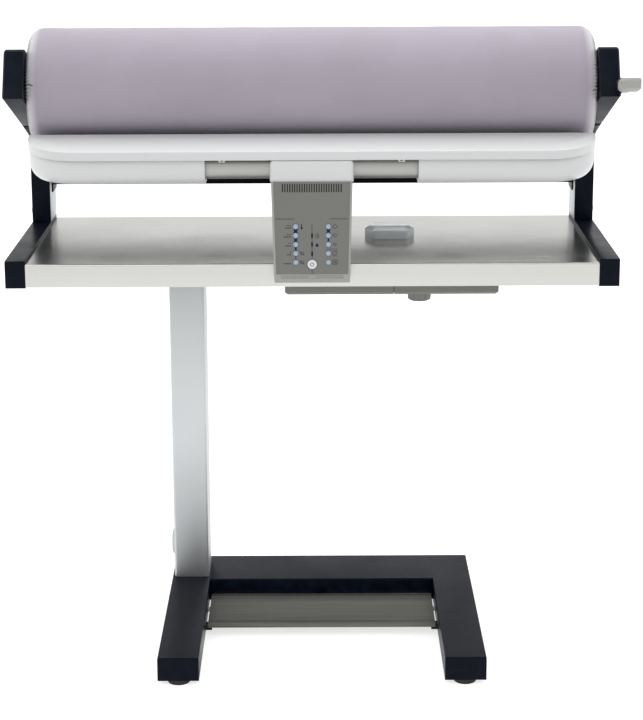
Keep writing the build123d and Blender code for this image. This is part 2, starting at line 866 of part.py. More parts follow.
with BuildPart() as roll_motor:
    with BuildSketch(across(motor_inner_x)):
        with Locations((0, roll_axis_z)):
            Circle(motor_diameter / 2)
    extrude(amount=motor_length)
    with BuildSketch(across(motor_inner_x + motor_length)):
        with Locations((0, roll_axis_z)):
            Circle(motor_head_diameter / 2)
    extrude(amount=motor_head_width)
    with BuildSketch(across(motor_head_x)):
        with Locations((0, roll_axis_z)):
            Circle(motor_spigot_diameter / 2)
    extrude(amount=frame_inner + motor_spigot_length - motor_head_x)
    with BuildSketch(across(motor_inner_x)):
        with Locations((0, roll_axis_z)):
            Circle(drive_shaft_diameter / 2 + shaft_play)
    extrude(amount=roll_disc_thickness * 2 + 1, mode=Mode.SUBTRACT)
roll_motor.part.label = "roll_motor"
export_step(roll_motor.part, "parts/roll_motor.step")

with BuildPart() as roll_bearing:
    with BuildSketch(across(-frame_inner)):
        with Locations((0, roll_axis_z)):
            Circle(bearing_diameter / 2)
            Circle(journal_diameter / 2 + shaft_play, mode=Mode.SUBTRACT)
    extrude(amount=-bearing_width)
roll_bearing.part.label = "roll_bearing"
export_step(roll_bearing.part, "parts/roll_bearing.step")

padding_rounding = roll_end_rounding - cover_thickness
padding_crown = roll_half_length - roll_end_rounding
padding_turn = degrees(acos((disc_outer_x - padding_crown) / padding_rounding))
with BuildPart() as roll_padding:
    with BuildSketch(Plane.XZ):
        with BuildLine():
            foot_line = Line(
                (head_x, roll_axis_z + tube_outer_radius),
                (head_x + disc_outer_x, roll_axis_z + tube_outer_radius),
            )
            shoulder = CenterArc(
                (head_x + padding_crown, roll_axis_z + padding_radius - padding_rounding),
                padding_rounding,
                padding_turn,
                90 - padding_turn,
            )
            Line(foot_line @ 1, shoulder @ 0)
            Polyline(shoulder @ 1, (head_x, roll_axis_z + padding_radius), foot_line @ 0)
        make_face()
        mirror(about=Plane.YZ.offset(head_x))
    revolve(axis=Axis((head_x, 0, roll_axis_z), (1, 0, 0)))
roll_padding.part.label = "roll_padding"
export_step(roll_padding.part, "parts/roll_padding.step")

# Cotton cover: full over its length, drawn in round both ends to a cord in its hem
with BuildPart() as roll_cover:
    with BuildSketch(Plane.XZ):
        with BuildLine():
            crown = roll_half_length - roll_end_rounding
            outer_z = roll_axis_z + roll_radius
            end_z = outer_z - roll_end_rounding
            hem_z = roll_axis_z + hem_radius
            inner_rounding = roll_end_rounding - cover_thickness
            Line((head_x, outer_z), (head_x + crown, outer_z))
            CenterArc((head_x + crown, end_z), roll_end_rounding, 0, 90)
            hem_x = head_x + roll_half_length - hem_drop
            hem_line = Line((head_x + roll_half_length, end_z), (hem_x, hem_z))
            hem_end = Line(hem_line @ 1, (head_x + roll_half_length - cover_thickness, hem_z))
            Line(hem_end @ 1, (head_x + roll_half_length - cover_thickness, end_z))
            CenterArc((head_x + crown, end_z), inner_rounding, 0, 90)
            Line((head_x + crown, outer_z - cover_thickness), (head_x, outer_z - cover_thickness))
            Line((head_x, outer_z - cover_thickness), (head_x, outer_z))
        make_face()
        mirror(about=Plane.YZ.offset(head_x))
    revolve(axis=Axis((head_x, 0, roll_axis_z), (1, 0, 0)))
roll_cover.part.label = "roll_cover"
export_step(roll_cover.part, "parts/roll_cover.step")

# ---------------------------------------------------------------- shoe
heater_angles = [shoe_front_angle + shoe_wrap * share for share in heater_shares]
heater_radius = shoe_outer_radius + heater_sink
heater_places = [on_shoe(heater_radius, angle) for angle in heater_angles]
with BuildPart() as shoe_plate:
    with BuildSketch(across(-shoe_half_width)):
        with BuildLine():
            bore_arc = CenterArc(shoe_centre, shoe_bore_radius, shoe_front_angle, shoe_wrap)
            back_arc = CenterArc(shoe_centre, shoe_outer_radius, shoe_front_angle, shoe_wrap)
            Line(bore_arc @ 0, back_arc @ 0)
            Line(bore_arc @ 1, back_arc @ 1)
        make_face()
        with Locations(*heater_places):
            Circle(heater_rib_radius)
        with Locations(shoe_centre):
            Circle(shoe_bore_radius, mode=Mode.SUBTRACT)
        with Locations(*heater_places):
            Circle(heater_diameter / 2 + heater_play, mode=Mode.SUBTRACT)
    extrude(amount=2 * shoe_half_width)
shoe_plate.part.label = "shoe_plate"
export_step(shoe_plate.part, "parts/shoe_plate.step")

with BuildPart() as heating_rods:
    with BuildSketch(across(-shoe_half_width + 1)):
        with Locations(*heater_places):
            Circle(heater_diameter / 2)
    extrude(amount=2 * shoe_half_width - 2)
heating_rods.part.label = "heating_rods"
export_step(heating_rods.part, "parts/heating_rods.step")

# Each arm is a cheek that closes one end of the shoe and runs back to the pivot
hub_reach = frame_inner - shoe_half_width - shoe_arm_thickness - hub_side_gap
cheek_front = on_shoe(shoe_bore_radius + shoe_edge_drop, shoe_front_angle)
cheek_back = on_shoe(shoe_bore_radius + shoe_edge_drop, shoe_front_angle + shoe_wrap)
arm_foot_z = trough_bottom_z + trough_sheet + arm_foot_gap
for side, name in ((-1, "left_shoe_arm"), (1, "right_shoe_arm")):
    with BuildPart() as shoe_arm:
        with BuildSketch(across(side * shoe_half_width)):
            with BuildLine():
                cheek_arc = CenterArc(
                    shoe_centre, shoe_bore_radius + shoe_edge_drop, shoe_front_angle, shoe_wrap
                )
                Polyline(
                    cheek_arc @ 1,
                    (pivot_y, pivot_z + hub_collar_radius),
                    (pivot_y, pivot_z - hub_collar_radius),
                    (trough_back_y, arm_foot_z),
                    (trough_front_y + cheek_foot_run, arm_foot_z),
                    (trough_front_y + cheek_nose_run, arm_foot_z + cheek_nose_rise),
                    cheek_arc @ 0,
                )
            make_face()
            with Locations((pivot_y, pivot_z)):
                Circle(hub_radius)
        extrude(amount=side * shoe_arm_thickness)
        with BuildSketch(across(side * (shoe_half_width + shoe_arm_thickness))):
            with Locations((pivot_y, pivot_z)):
                Circle(hub_collar_radius)
        extrude(amount=side * hub_reach)
        with BuildSketch(across(side * shoe_half_width)):
            with Locations((pivot_y, pivot_z)):
                Circle(pivot_pin_diameter / 2 + shaft_play)
        extrude(amount=side * (shoe_arm_thickness + hub_reach), mode=Mode.SUBTRACT)
    shoe_arm.part.label = name
    export_step(shoe_arm.part, f"parts/{name}.step")

# Sheet trough under the heaters, with a tongue at the back that rests on the lift cam
trough_rear_z = cheek_back[1] - trough_rear_drop
trough_front_z = cheek_front[1] - trough_front_drop
with BuildPart() as shoe_trough:
    with BuildSketch(across(-shoe_half_width)):
        with BuildLine():
            Polyline(
                (trough_front_y, trough_front_z),
                (trough_front_y + trough_lean, trough_bottom_z),
                (trough_back_y, trough_bottom_z),
                (trough_back_y, trough_rear_z),
                (trough_back_y - trough_sheet, trough_rear_z),
                (trough_back_y - trough_sheet, trough_bottom_z + trough_sheet),
                (trough_front_y + trough_lean + trough_sheet, trough_bottom_z + trough_sheet),
                (trough_front_y + trough_sheet, trough_front_z),
                close=True,
            )
        make_face()
    extrude(amount=2 * shoe_half_width)
    with BuildSketch(Plane.XY.offset(trough_bottom_z)):
        with Locations((head_x, (tongue_front_y + tongue_back_y) / 2)):
            Rectangle(tongue_width, tongue_back_y - tongue_front_y)
    extrude(amount=trough_sheet)
    # rib that stiffens the tongue, up the trough's rear wall
    with BuildSketch(across(-trough_sheet)):
        with BuildLine():
            Polyline(
                (trough_back_y, trough_bottom_z),
                (tongue_back_y, trough_bottom_z),
                (tongue_back_y, trough_bottom_z + 2 * trough_sheet),
                (trough_back_y, trough_rear_z),
                close=True,
            )
        make_face()
    extrude(amount=2 * trough_sheet)
shoe_trough.part.label = "shoe_trough"
export_step(shoe_trough.part, "parts/shoe_trough.step")

# ---------------------------------------------------------------- feed board and lower shells
slope = radians(board_slope)
board_plane = Plane(
    origin=(head_x, board_back_y, board_back_z), x_dir=(1, 0, 0), z_dir=(0, -sin(slope), cos(slope))
)
board_reach = (board_back_y - board_front_y) / cos(slope)


def board_under_z(y):
    """Height of the feed board's inner surface over a place Y."""
    return board_back_z + (y - board_back_y) * tan(slope) - board_wall / cos(slope)


with BuildPart() as feed_board:
    with BuildSketch(board_plane):
        with Locations((0, -board_reach / 2)):
            Rectangle(2 * board_half_width, board_reach)
        front_corners = vertices().group_by(Axis.Y)[0]
        fillet(front_corners, board_corner_radius)
    extrude(amount=-board_rim)
    rim_edges = feed_board.faces().sort_by(Axis.Z)[-1].edges().sort_by(Axis.Y)[:-1]
    fillet(rim_edges, board_edge_radius)
    with BuildSketch(board_plane.offset(-board_wall)):
        with Locations((0, -(board_reach - board_wall) / 2)):
            Rectangle(2 * (board_half_width - board_wall), board_reach - board_wall)
        front_corners = vertices().group_by(Axis.Y)[0]
        fillet(front_corners, board_corner_radius - board_wall)
    extrude(amount=-board_rim, mode=Mode.SUBTRACT)
feed_board.part.label = "feed_board"
export_step(feed_board.part, "parts/feed_board.step")

# White moulded shells close the underside at both sides of the control box
shell_outer_x = board_half_width - shell_inset


def rim_foot_z(y):
    """Height of the foot of the feed board's rim over a place Y."""
    return board_back_z + (y - board_back_y) * tan(slope) - board_rim / cos(slope)


shell_height = rim_foot_z(trough_front_y) - shell_bottom_z + shell_wall
shell_bodies = []
for side in (-1, 1):
    for inset in (0, shell_wall):
        # plan view with one round front corner; its foot edges are rounded up to the rim
        x_in = head_x + side * (shell_inner_x + inset)
        x_out = head_x + side * (shell_outer_x - inset)
        y_in = shell_front_y + inset
        y_out = shell_back_y - inset
        with BuildPart() as shell_body:
            with BuildSketch(Plane.XY.offset(shell_bottom_z + inset)):
                with Locations(((x_in + x_out) / 2, (y_in + y_out) / 2)):
                    Rectangle(abs(x_out - x_in), y_out - y_in)
                corner = vertices().sort_by_distance(Vertex(x_out, y_in, 0))[0]
                fillet(corner, shell_corner_radius - inset)
            extrude(amount=shell_height)
            foot_edges = shell_body.faces().sort_by(Axis.Z)[0].edges()
            outer_foot_edges = foot_edges.filter_by(
                lambda edge: abs(edge.center().X - x_in) > 1 and edge.center().Y < y_out - 1
            )
            fillet(outer_foot_edges, shell_edge_radius - inset)
        shell_bodies.append(shell_body.part)

shell_parts = (
    (-1, "left_lower_shell", shell_bodies[0], shell_bodies[1]),
    (1, "right_lower_shell", shell_bodies[2], shell_bodies[3]),
)
for side, name, outer_body, inner_body in shell_parts:
    with BuildPart() as lower_shell:
        add(outer_body)
        add(inner_body, mode=Mode.SUBTRACT)
        # the top follows the rim's foot, then falls away to the back lip
        with BuildSketch(across(side * shell_inner_x)):
            with BuildLine():
                Polyline(
                    (shell_front_y - 1, rim_foot_z(shell_front_y - 1) - fit_play),
                    (trough_front_y, rim_foot_z(trough_front_y) - fit_play),
                    (shell_back_y + 1, shell_bottom_z + shell_lip),
                    (shell_back_y + 1, shell_bottom_z + 2 * shell_height),
                    (shell_front_y - 1, shell_bottom_z + 2 * shell_height),
                    close=True,
                )
            make_face()
            # room for the roll when the shoe is closed
            with Locations(shoe_centre):
                Circle(shoe_bore_radius + shoe_edge_drop)
        extrude(amount=side * (shell_outer_x - shell_inner_x), mode=Mode.SUBTRACT)
        # room for the trough through the inner end wall, and the bore for the cross tube
        with BuildSketch(across(side * shell_inner_x)):
            with BuildLine():
                Polyline(
                    (trough_front_y - 1, rim_foot_z(trough_front_y) + shell_wall),
                    (trough_front_y - 1, trough_front_z),
                    (trough_front_y + trough_lean - 1, trough_bottom_z - 1),
                    (shell_back_y + 1, trough_bottom_z - 1),
                    (shell_back_y + 1, rim_foot_z(trough_front_y) + shell_wall),
                    close=True,
                )
            make_face()
            with Locations((tube_y, tube_z)):
                Circle(tube_diameter / 2 + fit_play)
        extrude(amount=side * shell_wall, mode=Mode.SUBTRACT)
    lower_shell.part.label = name
    export_step(lower_shell.part, f"parts/{name}.step")

with BuildPart() as cross_tube:
    with BuildSketch(across(-tube_half_length)):
        with Locations((tube_y, tube_z)):
            Circle(tube_diameter / 2)
            Circle(tube_diameter / 2 - tube_wall, mode=Mode.SUBTRACT)
    extrude(amount=2 * tube_half_length)
cross_tube.part.label = "cross_tube"
export_step(cross_tube.part, "parts/cross_tube.step")


def trough_face_y(z):
    """Place of the trough's leaning front face at a height."""
    return trough_front_y + trough_lean * (trough_front_z - z) / (trough_front_z - trough_bottom_z)


# Clamps hold the tube to the trough's front face and carry the feed board
clamp_radius = tube_diameter / 2 + clamp_wall
web_top_z = tube_z + tube_diameter / 3
web_foot_z = tube_z - tube_diameter / 3
with BuildPart() as tube_clamps:
    for x in (-outer_clamp_x, -clamp_x, clamp_x, outer_clamp_x):
        with BuildSketch(across(x - clamp_width / 2)):
            with Locations((tube_y, tube_z)):
                Circle(clamp_radius)
            with BuildLine():
                Polyline(
                    (tube_y, web_foot_z),
                    (trough_face_y(web_foot_z), web_foot_z),
                    (trough_face_y(web_top_z), web_top_z),
                    (tube_y + clamp_wall, web_top_z + clamp_wall),
                    (tube_y + clamp_wall, board_under_z(tube_y + clamp_wall)),
                    (tube_y - clamp_wall, board_under_z(tube_y - clamp_wall)),
                    (tube_y - clamp_wall, web_top_z),
                    close=True,
                )
            make_face()
            with Locations((tube_y, tube_z)):
                Circle(tube_diameter / 2 + shaft_play, mode=Mode.SUBTRACT)
        extrude(amount=clamp_width)
    # pierced tabs that hang from the feed board in front of the tube
    with BuildSketch(Plane.XZ.offset(-tab_front_y)):
        for x in (-tab_x, tab_x):
            tab_top_z = board_under_z(tab_front_y)
            with Locations((head_x + x, (tab_foot_z + tab_top_z) / 2)):
                Rectangle(tab_width, tab_top_z - tab_foot_z)
            with Locations((head_x + x, tab_foot_z + tab_hole_diameter)):
                Circle(tab_hole_diameter / 2, mode=Mode.SUBTRACT)
    extrude(amount=-tab_thickness)
tube_clamps.part.label = "tube_clamps"
export_step(tube_clamps.part, "parts/tube_clamps.step")

# ---------------------------------------------------------------- control box
box_back_y = control_front_y + box_depth
with BuildPart() as control_housing:
    with BuildSketch(across(-saddle_width / 2)):
        with BuildLine():
            Polyline(
                (saddle_front_y, box_top_z),
                (box_back_y + fit_play, box_top_z),
                (box_back_y + fit_play, tube_z - tube_diameter / 2 - saddle_wall),
                (saddle_back_y, tube_z - tube_diameter / 2 - saddle_wall),
                (saddle_back_y, saddle_top_z),
                (saddle_front_y, saddle_top_z),
                close=True,
            )
        make_face()
        top_corners = vertices().group_by(Axis.Y)[-1]
        fillet(top_corners, box_edge_radius * 2)
        with Locations((tube_y, tube_z)):
            Circle(tube_diameter / 2 + fit_play, mode=Mode.SUBTRACT)
    extrude(amount=saddle_width)
    front_sides = control_housing.edges().filter_by(Axis.Z).group_by(Axis.Y)[0]
    fillet(front_sides, saddle_edge_radius)
control_housing.part.label = "control_housing"
export_step(control_housing.part, "parts/control_housing.step")


def box_half_width(z):
    """Half the tapered box's width at a height."""
    share = (z - box_bottom_z) / (box_top_z - box_bottom_z)
    return (box_bottom_width + (box_top_width - box_bottom_width) * share) / 2


pocket_margin = fascia_margin + box_wall
pocket_depth = box_depth - box_wall - fascia_thickness
strip_hole_count = int((box_bottom_width - 2 * strip_inset_x) / strip_hole_pitch)
with BuildPart() as control_box:
    with BuildSketch(control_front):
        with BuildLine():
            Polyline(
                (head_x - box_half_width(box_bottom_z), box_bottom_z),
                (head_x + box_half_width(box_bottom_z), box_bottom_z),
                (head_x + box_half_width(box_top_z), box_top_z),
                (head_x - box_half_width(box_top_z), box_top_z),
                close=True,
            )
        make_face()
        bottom_corners = vertices().group_by(Axis.Y)[0]
        fillet(bottom_corners, box_edge_radius)
    extrude(amount=-box_depth)
    front_edges = control_box.faces().sort_by(Axis.Y)[0].edges().sort_by(Axis.Z)[:-1]
    fillet(front_edges, box_front_radius)
    # recess of the fascia, then the room behind it
    for margin, depth, foot_z, from_y in (
        (fascia_margin, fascia_thickness, fascia_bottom_z, 0),
        (pocket_margin, pocket_depth, fascia_bottom_z + box_wall, fascia_thickness),
    ):
        top_z = box_top_z if from_y == 0 else box_top_z - box_wall
        with BuildSketch(control_front.offset(-from_y)):
            with BuildLine():
                Polyline(
                    (head_x - box_half_width(foot_z) + margin, foot_z),
                    (head_x + box_half_width(foot_z) - margin, foot_z),
                    (head_x + box_half_width(top_z) - margin, top_z),
                    (head_x - box_half_width(top_z) + margin, top_z),
                    close=True,
                )
            make_face()
        extrude(amount=-depth, mode=Mode.SUBTRACT)
    # fine perforations along the foot
    with BuildSketch(control_front):
        with Locations((head_x, (fascia_bottom_z + box_bottom_z) / 2 + box_edge_radius)):
            with GridLocations(strip_hole_pitch, strip_hole_pitch, strip_hole_count, strip_rows):
                Rectangle(strip_hole_size, strip_hole_size)
    extrude(amount=-fascia_thickness, mode=Mode.SUBTRACT)
    # finger catch in the middle of the strip
    with BuildSketch(control_front):
        with Locations((head_x, catch_z + catch_height / 2)):
            Trapezoid(catch_width, catch_height, catch_side_angle)
    extrude(amount=catch_rise)
    with BuildSketch(control_front):
        with Locations((head_x, catch_z + catch_height / 2)):
            Trapezoid(catch_width, catch_height, catch_side_angle)
    extrude(amount=-fascia_thickness)
control_box.part.label = "control_box"
export_step(control_box.part, "parts/control_box.step")

key_places = [
    (side * key_column_offset, key_top_z - row * key_pitch) for side in (-1, 1) for row in range(key_count)
]
with BuildPart() as control_fascia:
    with BuildSketch(control_front):
        with BuildLine():
            Polyline(
                (head_x - box_half_width(fascia_bottom_z) + fascia_margin, fascia_bottom_z),
                (head_x + box_half_width(fascia_bottom_z) - fascia_margin, fascia_bottom_z),
                (head_x + box_half_width(box_top_z) - fascia_margin, box_top_z),
                (head_x - box_half_width(box_top_z) + fascia_margin, box_top_z),
                close=True,
            )
        make_face()
        offset(amount=-fascia_play)
        with Locations((head_x, slot_z)):
            with GridLocations(slot_pitch, slot_height, slot_count, 1):
                Rectangle(slot_width, slot_height, mode=Mode.SUBTRACT)
        with Locations(*[(head_x + x, z) for x, z in key_places]):
            Circle(key_diameter / 2 + key_play, mode=Mode.SUBTRACT)
        with Locations((head_x, power_button_z)):
            Circle(power_button_diameter / 2 + key_play, mode=Mode.SUBTRACT)
    extrude(amount=-fascia_thickness)
control_fascia.part.label = "control_fascia"
export_step(control_fascia.part, "parts/control_fascia.step")

fascia_back = control_front.offset(-fascia_thickness)
button_places = [("power_button", 0, power_button_z, power_button_diameter)]
for index, (x, z) in enumerate(key_places):
    column_name = "left" if x < 0 else "right"
    row_name = index % key_count + 1
    button_places.append((f"key_{column_name}_{row_name}", x, z, key_diameter))
for name, x, z, diameter in button_places:
    with BuildPart() as button:
        with BuildSketch(fascia_back.offset(-key_stem)):
            with Locations((head_x + x, z)):
                Circle(diameter / 2)
        extrude(amount=key_stem + fascia_thickness + key_stand)
        face_edges = button.faces().sort_by(Axis.Y)[0].edges()
        chamfer(face_edges, key_edge)
        with BuildSketch(fascia_back.offset(-shaft_play)):
            with Locations((head_x + x, z)):
                Circle(diameter / 2 + key_collar)
        extrude(amount=-key_collar)
    button.part.label = name
    export_step(button.part, f"parts/{name}.step")

board_front_face = control_front.offset(-fascia_thickness - circuit_board_depth)
post_length = box_depth - box_wall - fascia_thickness - circuit_board_depth - board_thickness
circuit_top_z = key_top_z + key_pitch
circuit_foot_z = fascia_bottom_z + 2 * box_wall
circuit_width = 2 * box_half_width(circuit_foot_z) - 4 * pocket_margin
post_rise = circuit_top_z - circuit_foot_z - 2 * circuit_post_inset
with BuildPart() as control_board:
    with BuildSketch(board_front_face):
        with Locations((head_x, (circuit_top_z + circuit_foot_z) / 2)):
            Rectangle(circuit_width, circuit_top_z - circuit_foot_z)
    extrude(amount=-board_thickness)
    with BuildSketch(board_front_face):
        with Locations(*[(head_x + x, z) for x, z in key_places + [(0, power_button_z)]]):
            Rectangle(switch_size, switch_size)
    extrude(amount=switch_height)
    with BuildSketch(board_front_face.offset(-board_thickness)):
        with Locations((head_x, (circuit_top_z + circuit_foot_z) / 2)):
            with GridLocations(key_column_offset * 3, post_rise, 2, 2):
                Circle(switch_height)
    extrude(amount=-post_length)
control_board.part.label = "control_board"
export_step(control_board.part, "parts/control_board.step")

# ---------------------------------------------------------------- release lever
paddle_top_z = paddle_bottom_z + paddle_height
paddle_back_y = paddle_front_y + paddle_depth
paddle_right_x = frame_outer + paddle_overhang
paddle_left_x = paddle_right_x - paddle_width
lever_x = frame_outer + lever_side_gap
with BuildPart() as release_lever:
    with BuildSketch(Plane.XZ.offset(-paddle_front_y)):
        with Locations((head_x + paddle_left_x, paddle_bottom_z)):
            Rectangle(paddle_right_x - paddle_left_x, paddle_height, align=(Align.MIN, Align.MIN))
        left_corners = vertices().group_by(Axis.X)[0]
        fillet(left_corners, paddle_corner_radius)
        right_foot = vertices().group_by(Axis.X)[-1].sort_by(Axis.Y)[0]
        chamfer(right_foot, paddle_chamfer)
    extrude(amount=-paddle_depth)
    # bevelled section of the bar
    with BuildSketch(across(paddle_left_x)):
        with BuildLine():
            Polyline(
                (paddle_back_y, paddle_bottom_z),
                (paddle_front_y + paddle_bevel, paddle_bottom_z),
                (paddle_front_y, paddle_bottom_z + paddle_bevel),
                (paddle_front_y, paddle_top_z - paddle_edge),
                (paddle_front_y + paddle_edge, paddle_top_z),
                (paddle_back_y, paddle_top_z),
                close=True,
            )
        make_face()
    extrude(amount=paddle_right_x - paddle_left_x, mode=Mode.INTERSECT)
    with BuildSketch(across(lever_x)):
        with Locations((lever_y, lever_z)):
            Circle(lever_hub_radius)
        with BuildLine():
            Polyline(
                (lever_y, lever_z - lever_hub_radius),
                (paddle_back_y, paddle_bottom_z),
                (paddle_back_y - paddle_edge, paddle_bottom_z),
                (paddle_back_y - paddle_edge, paddle_top_z - paddle_edge),
                (paddle_back_y, paddle_top_z - paddle_edge),
                (lever_y, lever_z + lever_hub_radius),
                close=True,
            )
        make_face()
        with Locations((lever_y, lever_z)):
            Circle(lever_pin_diameter / 2 + shaft_play, mode=Mode.SUBTRACT)
    extrude(amount=lever_thickness)
release_lever.part.label = "release_lever"
export_step(release_lever.part, "parts/release_lever.step")

# ---------------------------------------------------------------- lift cam and gear motor
# The tongue rides on a cam whose reach grows evenly with its turn, as an involute does
cam_z = trough_bottom_z - cam_gap - cam_base_radius
lift = (pivot_y - cam_y) * sin(radians(shoe_opening)) - (pivot_z - cam_z) * (1 - cos(radians(shoe_opening)))
cam_rise = lift / radians(cam_turn)


def on_cam(turn):
    """Point of the cam's edge that touches the tongue after a turn in degrees, as (Y, Z)."""
    reach = cam_base_radius + cam_rise * radians(turn)
    a = radians(90 - turn)
    return (cam_y + reach * cos(a) + cam_rise * sin(a), cam_z + reach * sin(a) - cam_rise * cos(a))


with BuildPart() as lift_cam:
    with BuildSketch(across(-cam_width / 2)):
        with Locations((cam_y + cam_rise, cam_z)):
            Circle(cam_base_radius)
        with BuildLine():
            Spline([on_cam(cam_turn * step / cam_steps) for step in range(cam_steps + 1)])
            Polyline(on_cam(cam_turn), (cam_y, cam_z), on_cam(0))
        make_face()
    extrude(amount=cam_width)
    with BuildSketch(across(cam_width / 2)):
        with Locations((cam_y, cam_z)):
            Circle(cam_shaft_diameter / 2)
    extrude(amount=gearbox_gap + cam_shaft_grip)
lift_cam.part.label = "lift_cam"
export_step(lift_cam.part, "parts/lift_cam.step")

gearbox_x = cam_width / 2 + gearbox_gap
gearbox_y = cam_y + gearbox_depth / 6
tie_front_y = tie_bar_y - tie_bar_depth / 2
with BuildPart() as lift_gear_motor:
    with BuildSketch(across(gearbox_x)):
        with Locations((gearbox_y, cam_z)):
            RectangleRounded(gearbox_depth, gearbox_height, column_corner_radius)
    extrude(amount=gearbox_width)
    with BuildSketch(across(gearbox_x + gearbox_width)):
        with Locations((gearbox_y, cam_z)):
            Circle(lift_motor_diameter / 2)
    extrude(amount=lift_motor_length)
    # foot that bolts to the tie bar
    with BuildSketch(across(gearbox_x)):
        foot_top_z = cam_z - gearbox_height / 4
        with BuildLine():
            Polyline(
                (gearbox_y, foot_top_z),
                (tie_front_y, foot_top_z),
                (tie_front_y, tie_bar_z - tie_bar_height / 3),
                (tie_front_y - bracket_foot_thickness, tie_bar_z - tie_bar_height / 3),
                (tie_front_y - bracket_foot_thickness, foot_top_z - bracket_foot_thickness),
                (gearbox_y, foot_top_z - bracket_foot_thickness),
                close=True,
            )
        make_face()
    extrude(amount=gearbox_width)
    with BuildSketch(across(gearbox_x)):
        with Locations((cam_y, cam_z)):
            Circle(cam_shaft_diameter / 2 + shaft_play)
    extrude(amount=cam_shaft_grip + pin_end_gap, mode=Mode.SUBTRACT)
lift_gear_motor.part.label = "lift_gear_motor"
export_step(lift_gear_motor.part, "parts/lift_gear_motor.step")

# ---------------------------------------------------------------- foot pedal
pedal_half_width = base_inner - pedal_side_gap
pedal_middle_y = (pedal_front_y + pedal_back_y) / 2
pocket_pitch = (pedal_depth - pedal_sheet) / (pedal_rib_count - 1)
groove_places = [
    pedal_front_y + ridge_inset,
    pedal_front_y + ridge_inset + ridge_pitch,
    pedal_back_y - strip_inset,
]
with BuildPart() as foot_pedal:
    with BuildSketch(Plane.YZ.offset(-pedal_half_width)):
        with Locations((pedal_middle_y, pedal_top_z - pedal_thickness / 2)):
            Rectangle(pedal_depth, pedal_thickness)
        top_corners = vertices().group_by(Axis.Y)[-1]
        fillet(top_corners, pedal_sheet)
        with Locations(*[(y, pedal_top_z) for y in groove_places]):
            Rectangle(ridge_width, 2 * ridge_depth, mode=Mode.SUBTRACT)
        # the extrusion is hollow from below between its ribs
        with Locations((pedal_middle_y, pedal_top_z - pedal_thickness)):
            with GridLocations(pocket_pitch, pedal_sheet, pedal_rib_count - 1, 1):
                Rectangle(
                    pocket_pitch - pedal_sheet, 2 * (pedal_thickness - pedal_sheet), mode=Mode.SUBTRACT
                )
    extrude(amount=2 * pedal_half_width)
    for side in (-1, 1):
        with BuildSketch(Plane.YZ.offset(side * pedal_half_width)):
            with Locations((pedal_axis_y, pedal_axis_z)):
                Circle(pedal_boss_radius)
        extrude(amount=-side * pedal_boss_width)
        with BuildSketch(Plane.YZ.offset(side * pedal_half_width)):
            with Locations((pedal_axis_y, pedal_axis_z)):
                Circle(pedal_pin_diameter / 2 + shaft_play)
        extrude(amount=-side * (pedal_pin_grip + pin_end_gap), mode=Mode.SUBTRACT)
foot_pedal.part.label = "foot_pedal"
export_step(foot_pedal.part, "parts/foot_pedal.step")

pedal_foot_z = pedal_top_z - pedal_thickness
press = radians(pedal_travel)
stop_front_y = pedal_front_y + stop_inset
# foot of the pressed pedal over the stop's front edge
pressed_foot_z = (
    pedal_axis_z - (pedal_axis_y - stop_front_y) * sin(press) - (pedal_axis_z - pedal_foot_z) * cos(press)
)
stop_top_z = pressed_foot_z - stop_clearance
stop_leg = pedal_side_gap - 1
with BuildPart() as pedal_stops:
    for side in (-1, 1):
        with BuildSketch(Plane.XZ.offset(-stop_front_y)):
            with BuildLine():
                Polyline(
                    (side * base_inner, pedal_foot_z + stop_leg_top),
                    (side * base_inner, stop_top_z - stop_height),
                    (side * (base_inner - stop_width), stop_top_z - stop_height),
                    (side * (base_inner - stop_width), stop_top_z),
                    (side * (base_inner - stop_leg), stop_top_z),
                    (side * (base_inner - stop_leg), pedal_foot_z + stop_leg_top),
                    close=True,
                )
            make_face()
        extrude(amount=-stop_length)
pedal_stops.part.label = "pedal_stops"
export_step(pedal_stops.part, "parts/pedal_stops.step")

with BuildPart() as pedal_switch:
    with BuildSketch(Plane.XY.offset(glide_height)):
        with Locations((0, rear_beam_front_y - switch_reach / 2)):
            Rectangle(switch_length, switch_reach)
    extrude(amount=pedal_foot_z - glide_height - switch_gap)
    with BuildSketch(Plane.XY.offset(glide_height)):
        with Locations((0, pedal_back_y - pedal_sheet / 2)):
            Circle(plunger_radius)
    extrude(amount=pedal_foot_z - glide_height - stop_clearance)
pedal_switch.part.label = "pedal_switch"
export_step(pedal_switch.part, "parts/pedal_switch.step")

# ---------------------------------------------------------------- pivot pins
with BuildPart() as pivot_pins:
    for side in (-1, 1):
        with BuildSketch(across(side * (shoe_half_width + 1))):
            with Locations((pivot_y, pivot_z)):
                Circle(pivot_pin_diameter / 2)
        extrude(amount=side * (frame_inner - shoe_half_width - 1 + pivot_pin_grip))
        with BuildSketch(Plane.YZ.offset(side * (pedal_half_width - pedal_pin_grip))):
            with Locations((pedal_axis_y, pedal_axis_z)):
                Circle(pedal_pin_diameter / 2)
        extrude(amount=side * (pedal_pin_grip + pedal_side_gap + beam_wall + pin_tail))
    with BuildSketch(across(frame_outer - lever_pin_grip)):
        with Locations((lever_y, lever_z)):
            Circle(lever_pin_diameter / 2)
    extrude(amount=lever_pin_grip + lever_side_gap + lever_thickness + fit_play)
    with BuildSketch(across(frame_outer + lever_side_gap + lever_thickness + fit_play)):
        with Locations((lever_y, lever_z)):
            Circle(lever_pin_head_radius)
    extrude(amount=lever_side_gap * 2)
pivot_pins.part.label = "pivot_pins"
export_step(pivot_pins.part, "parts/pivot_pins.step")
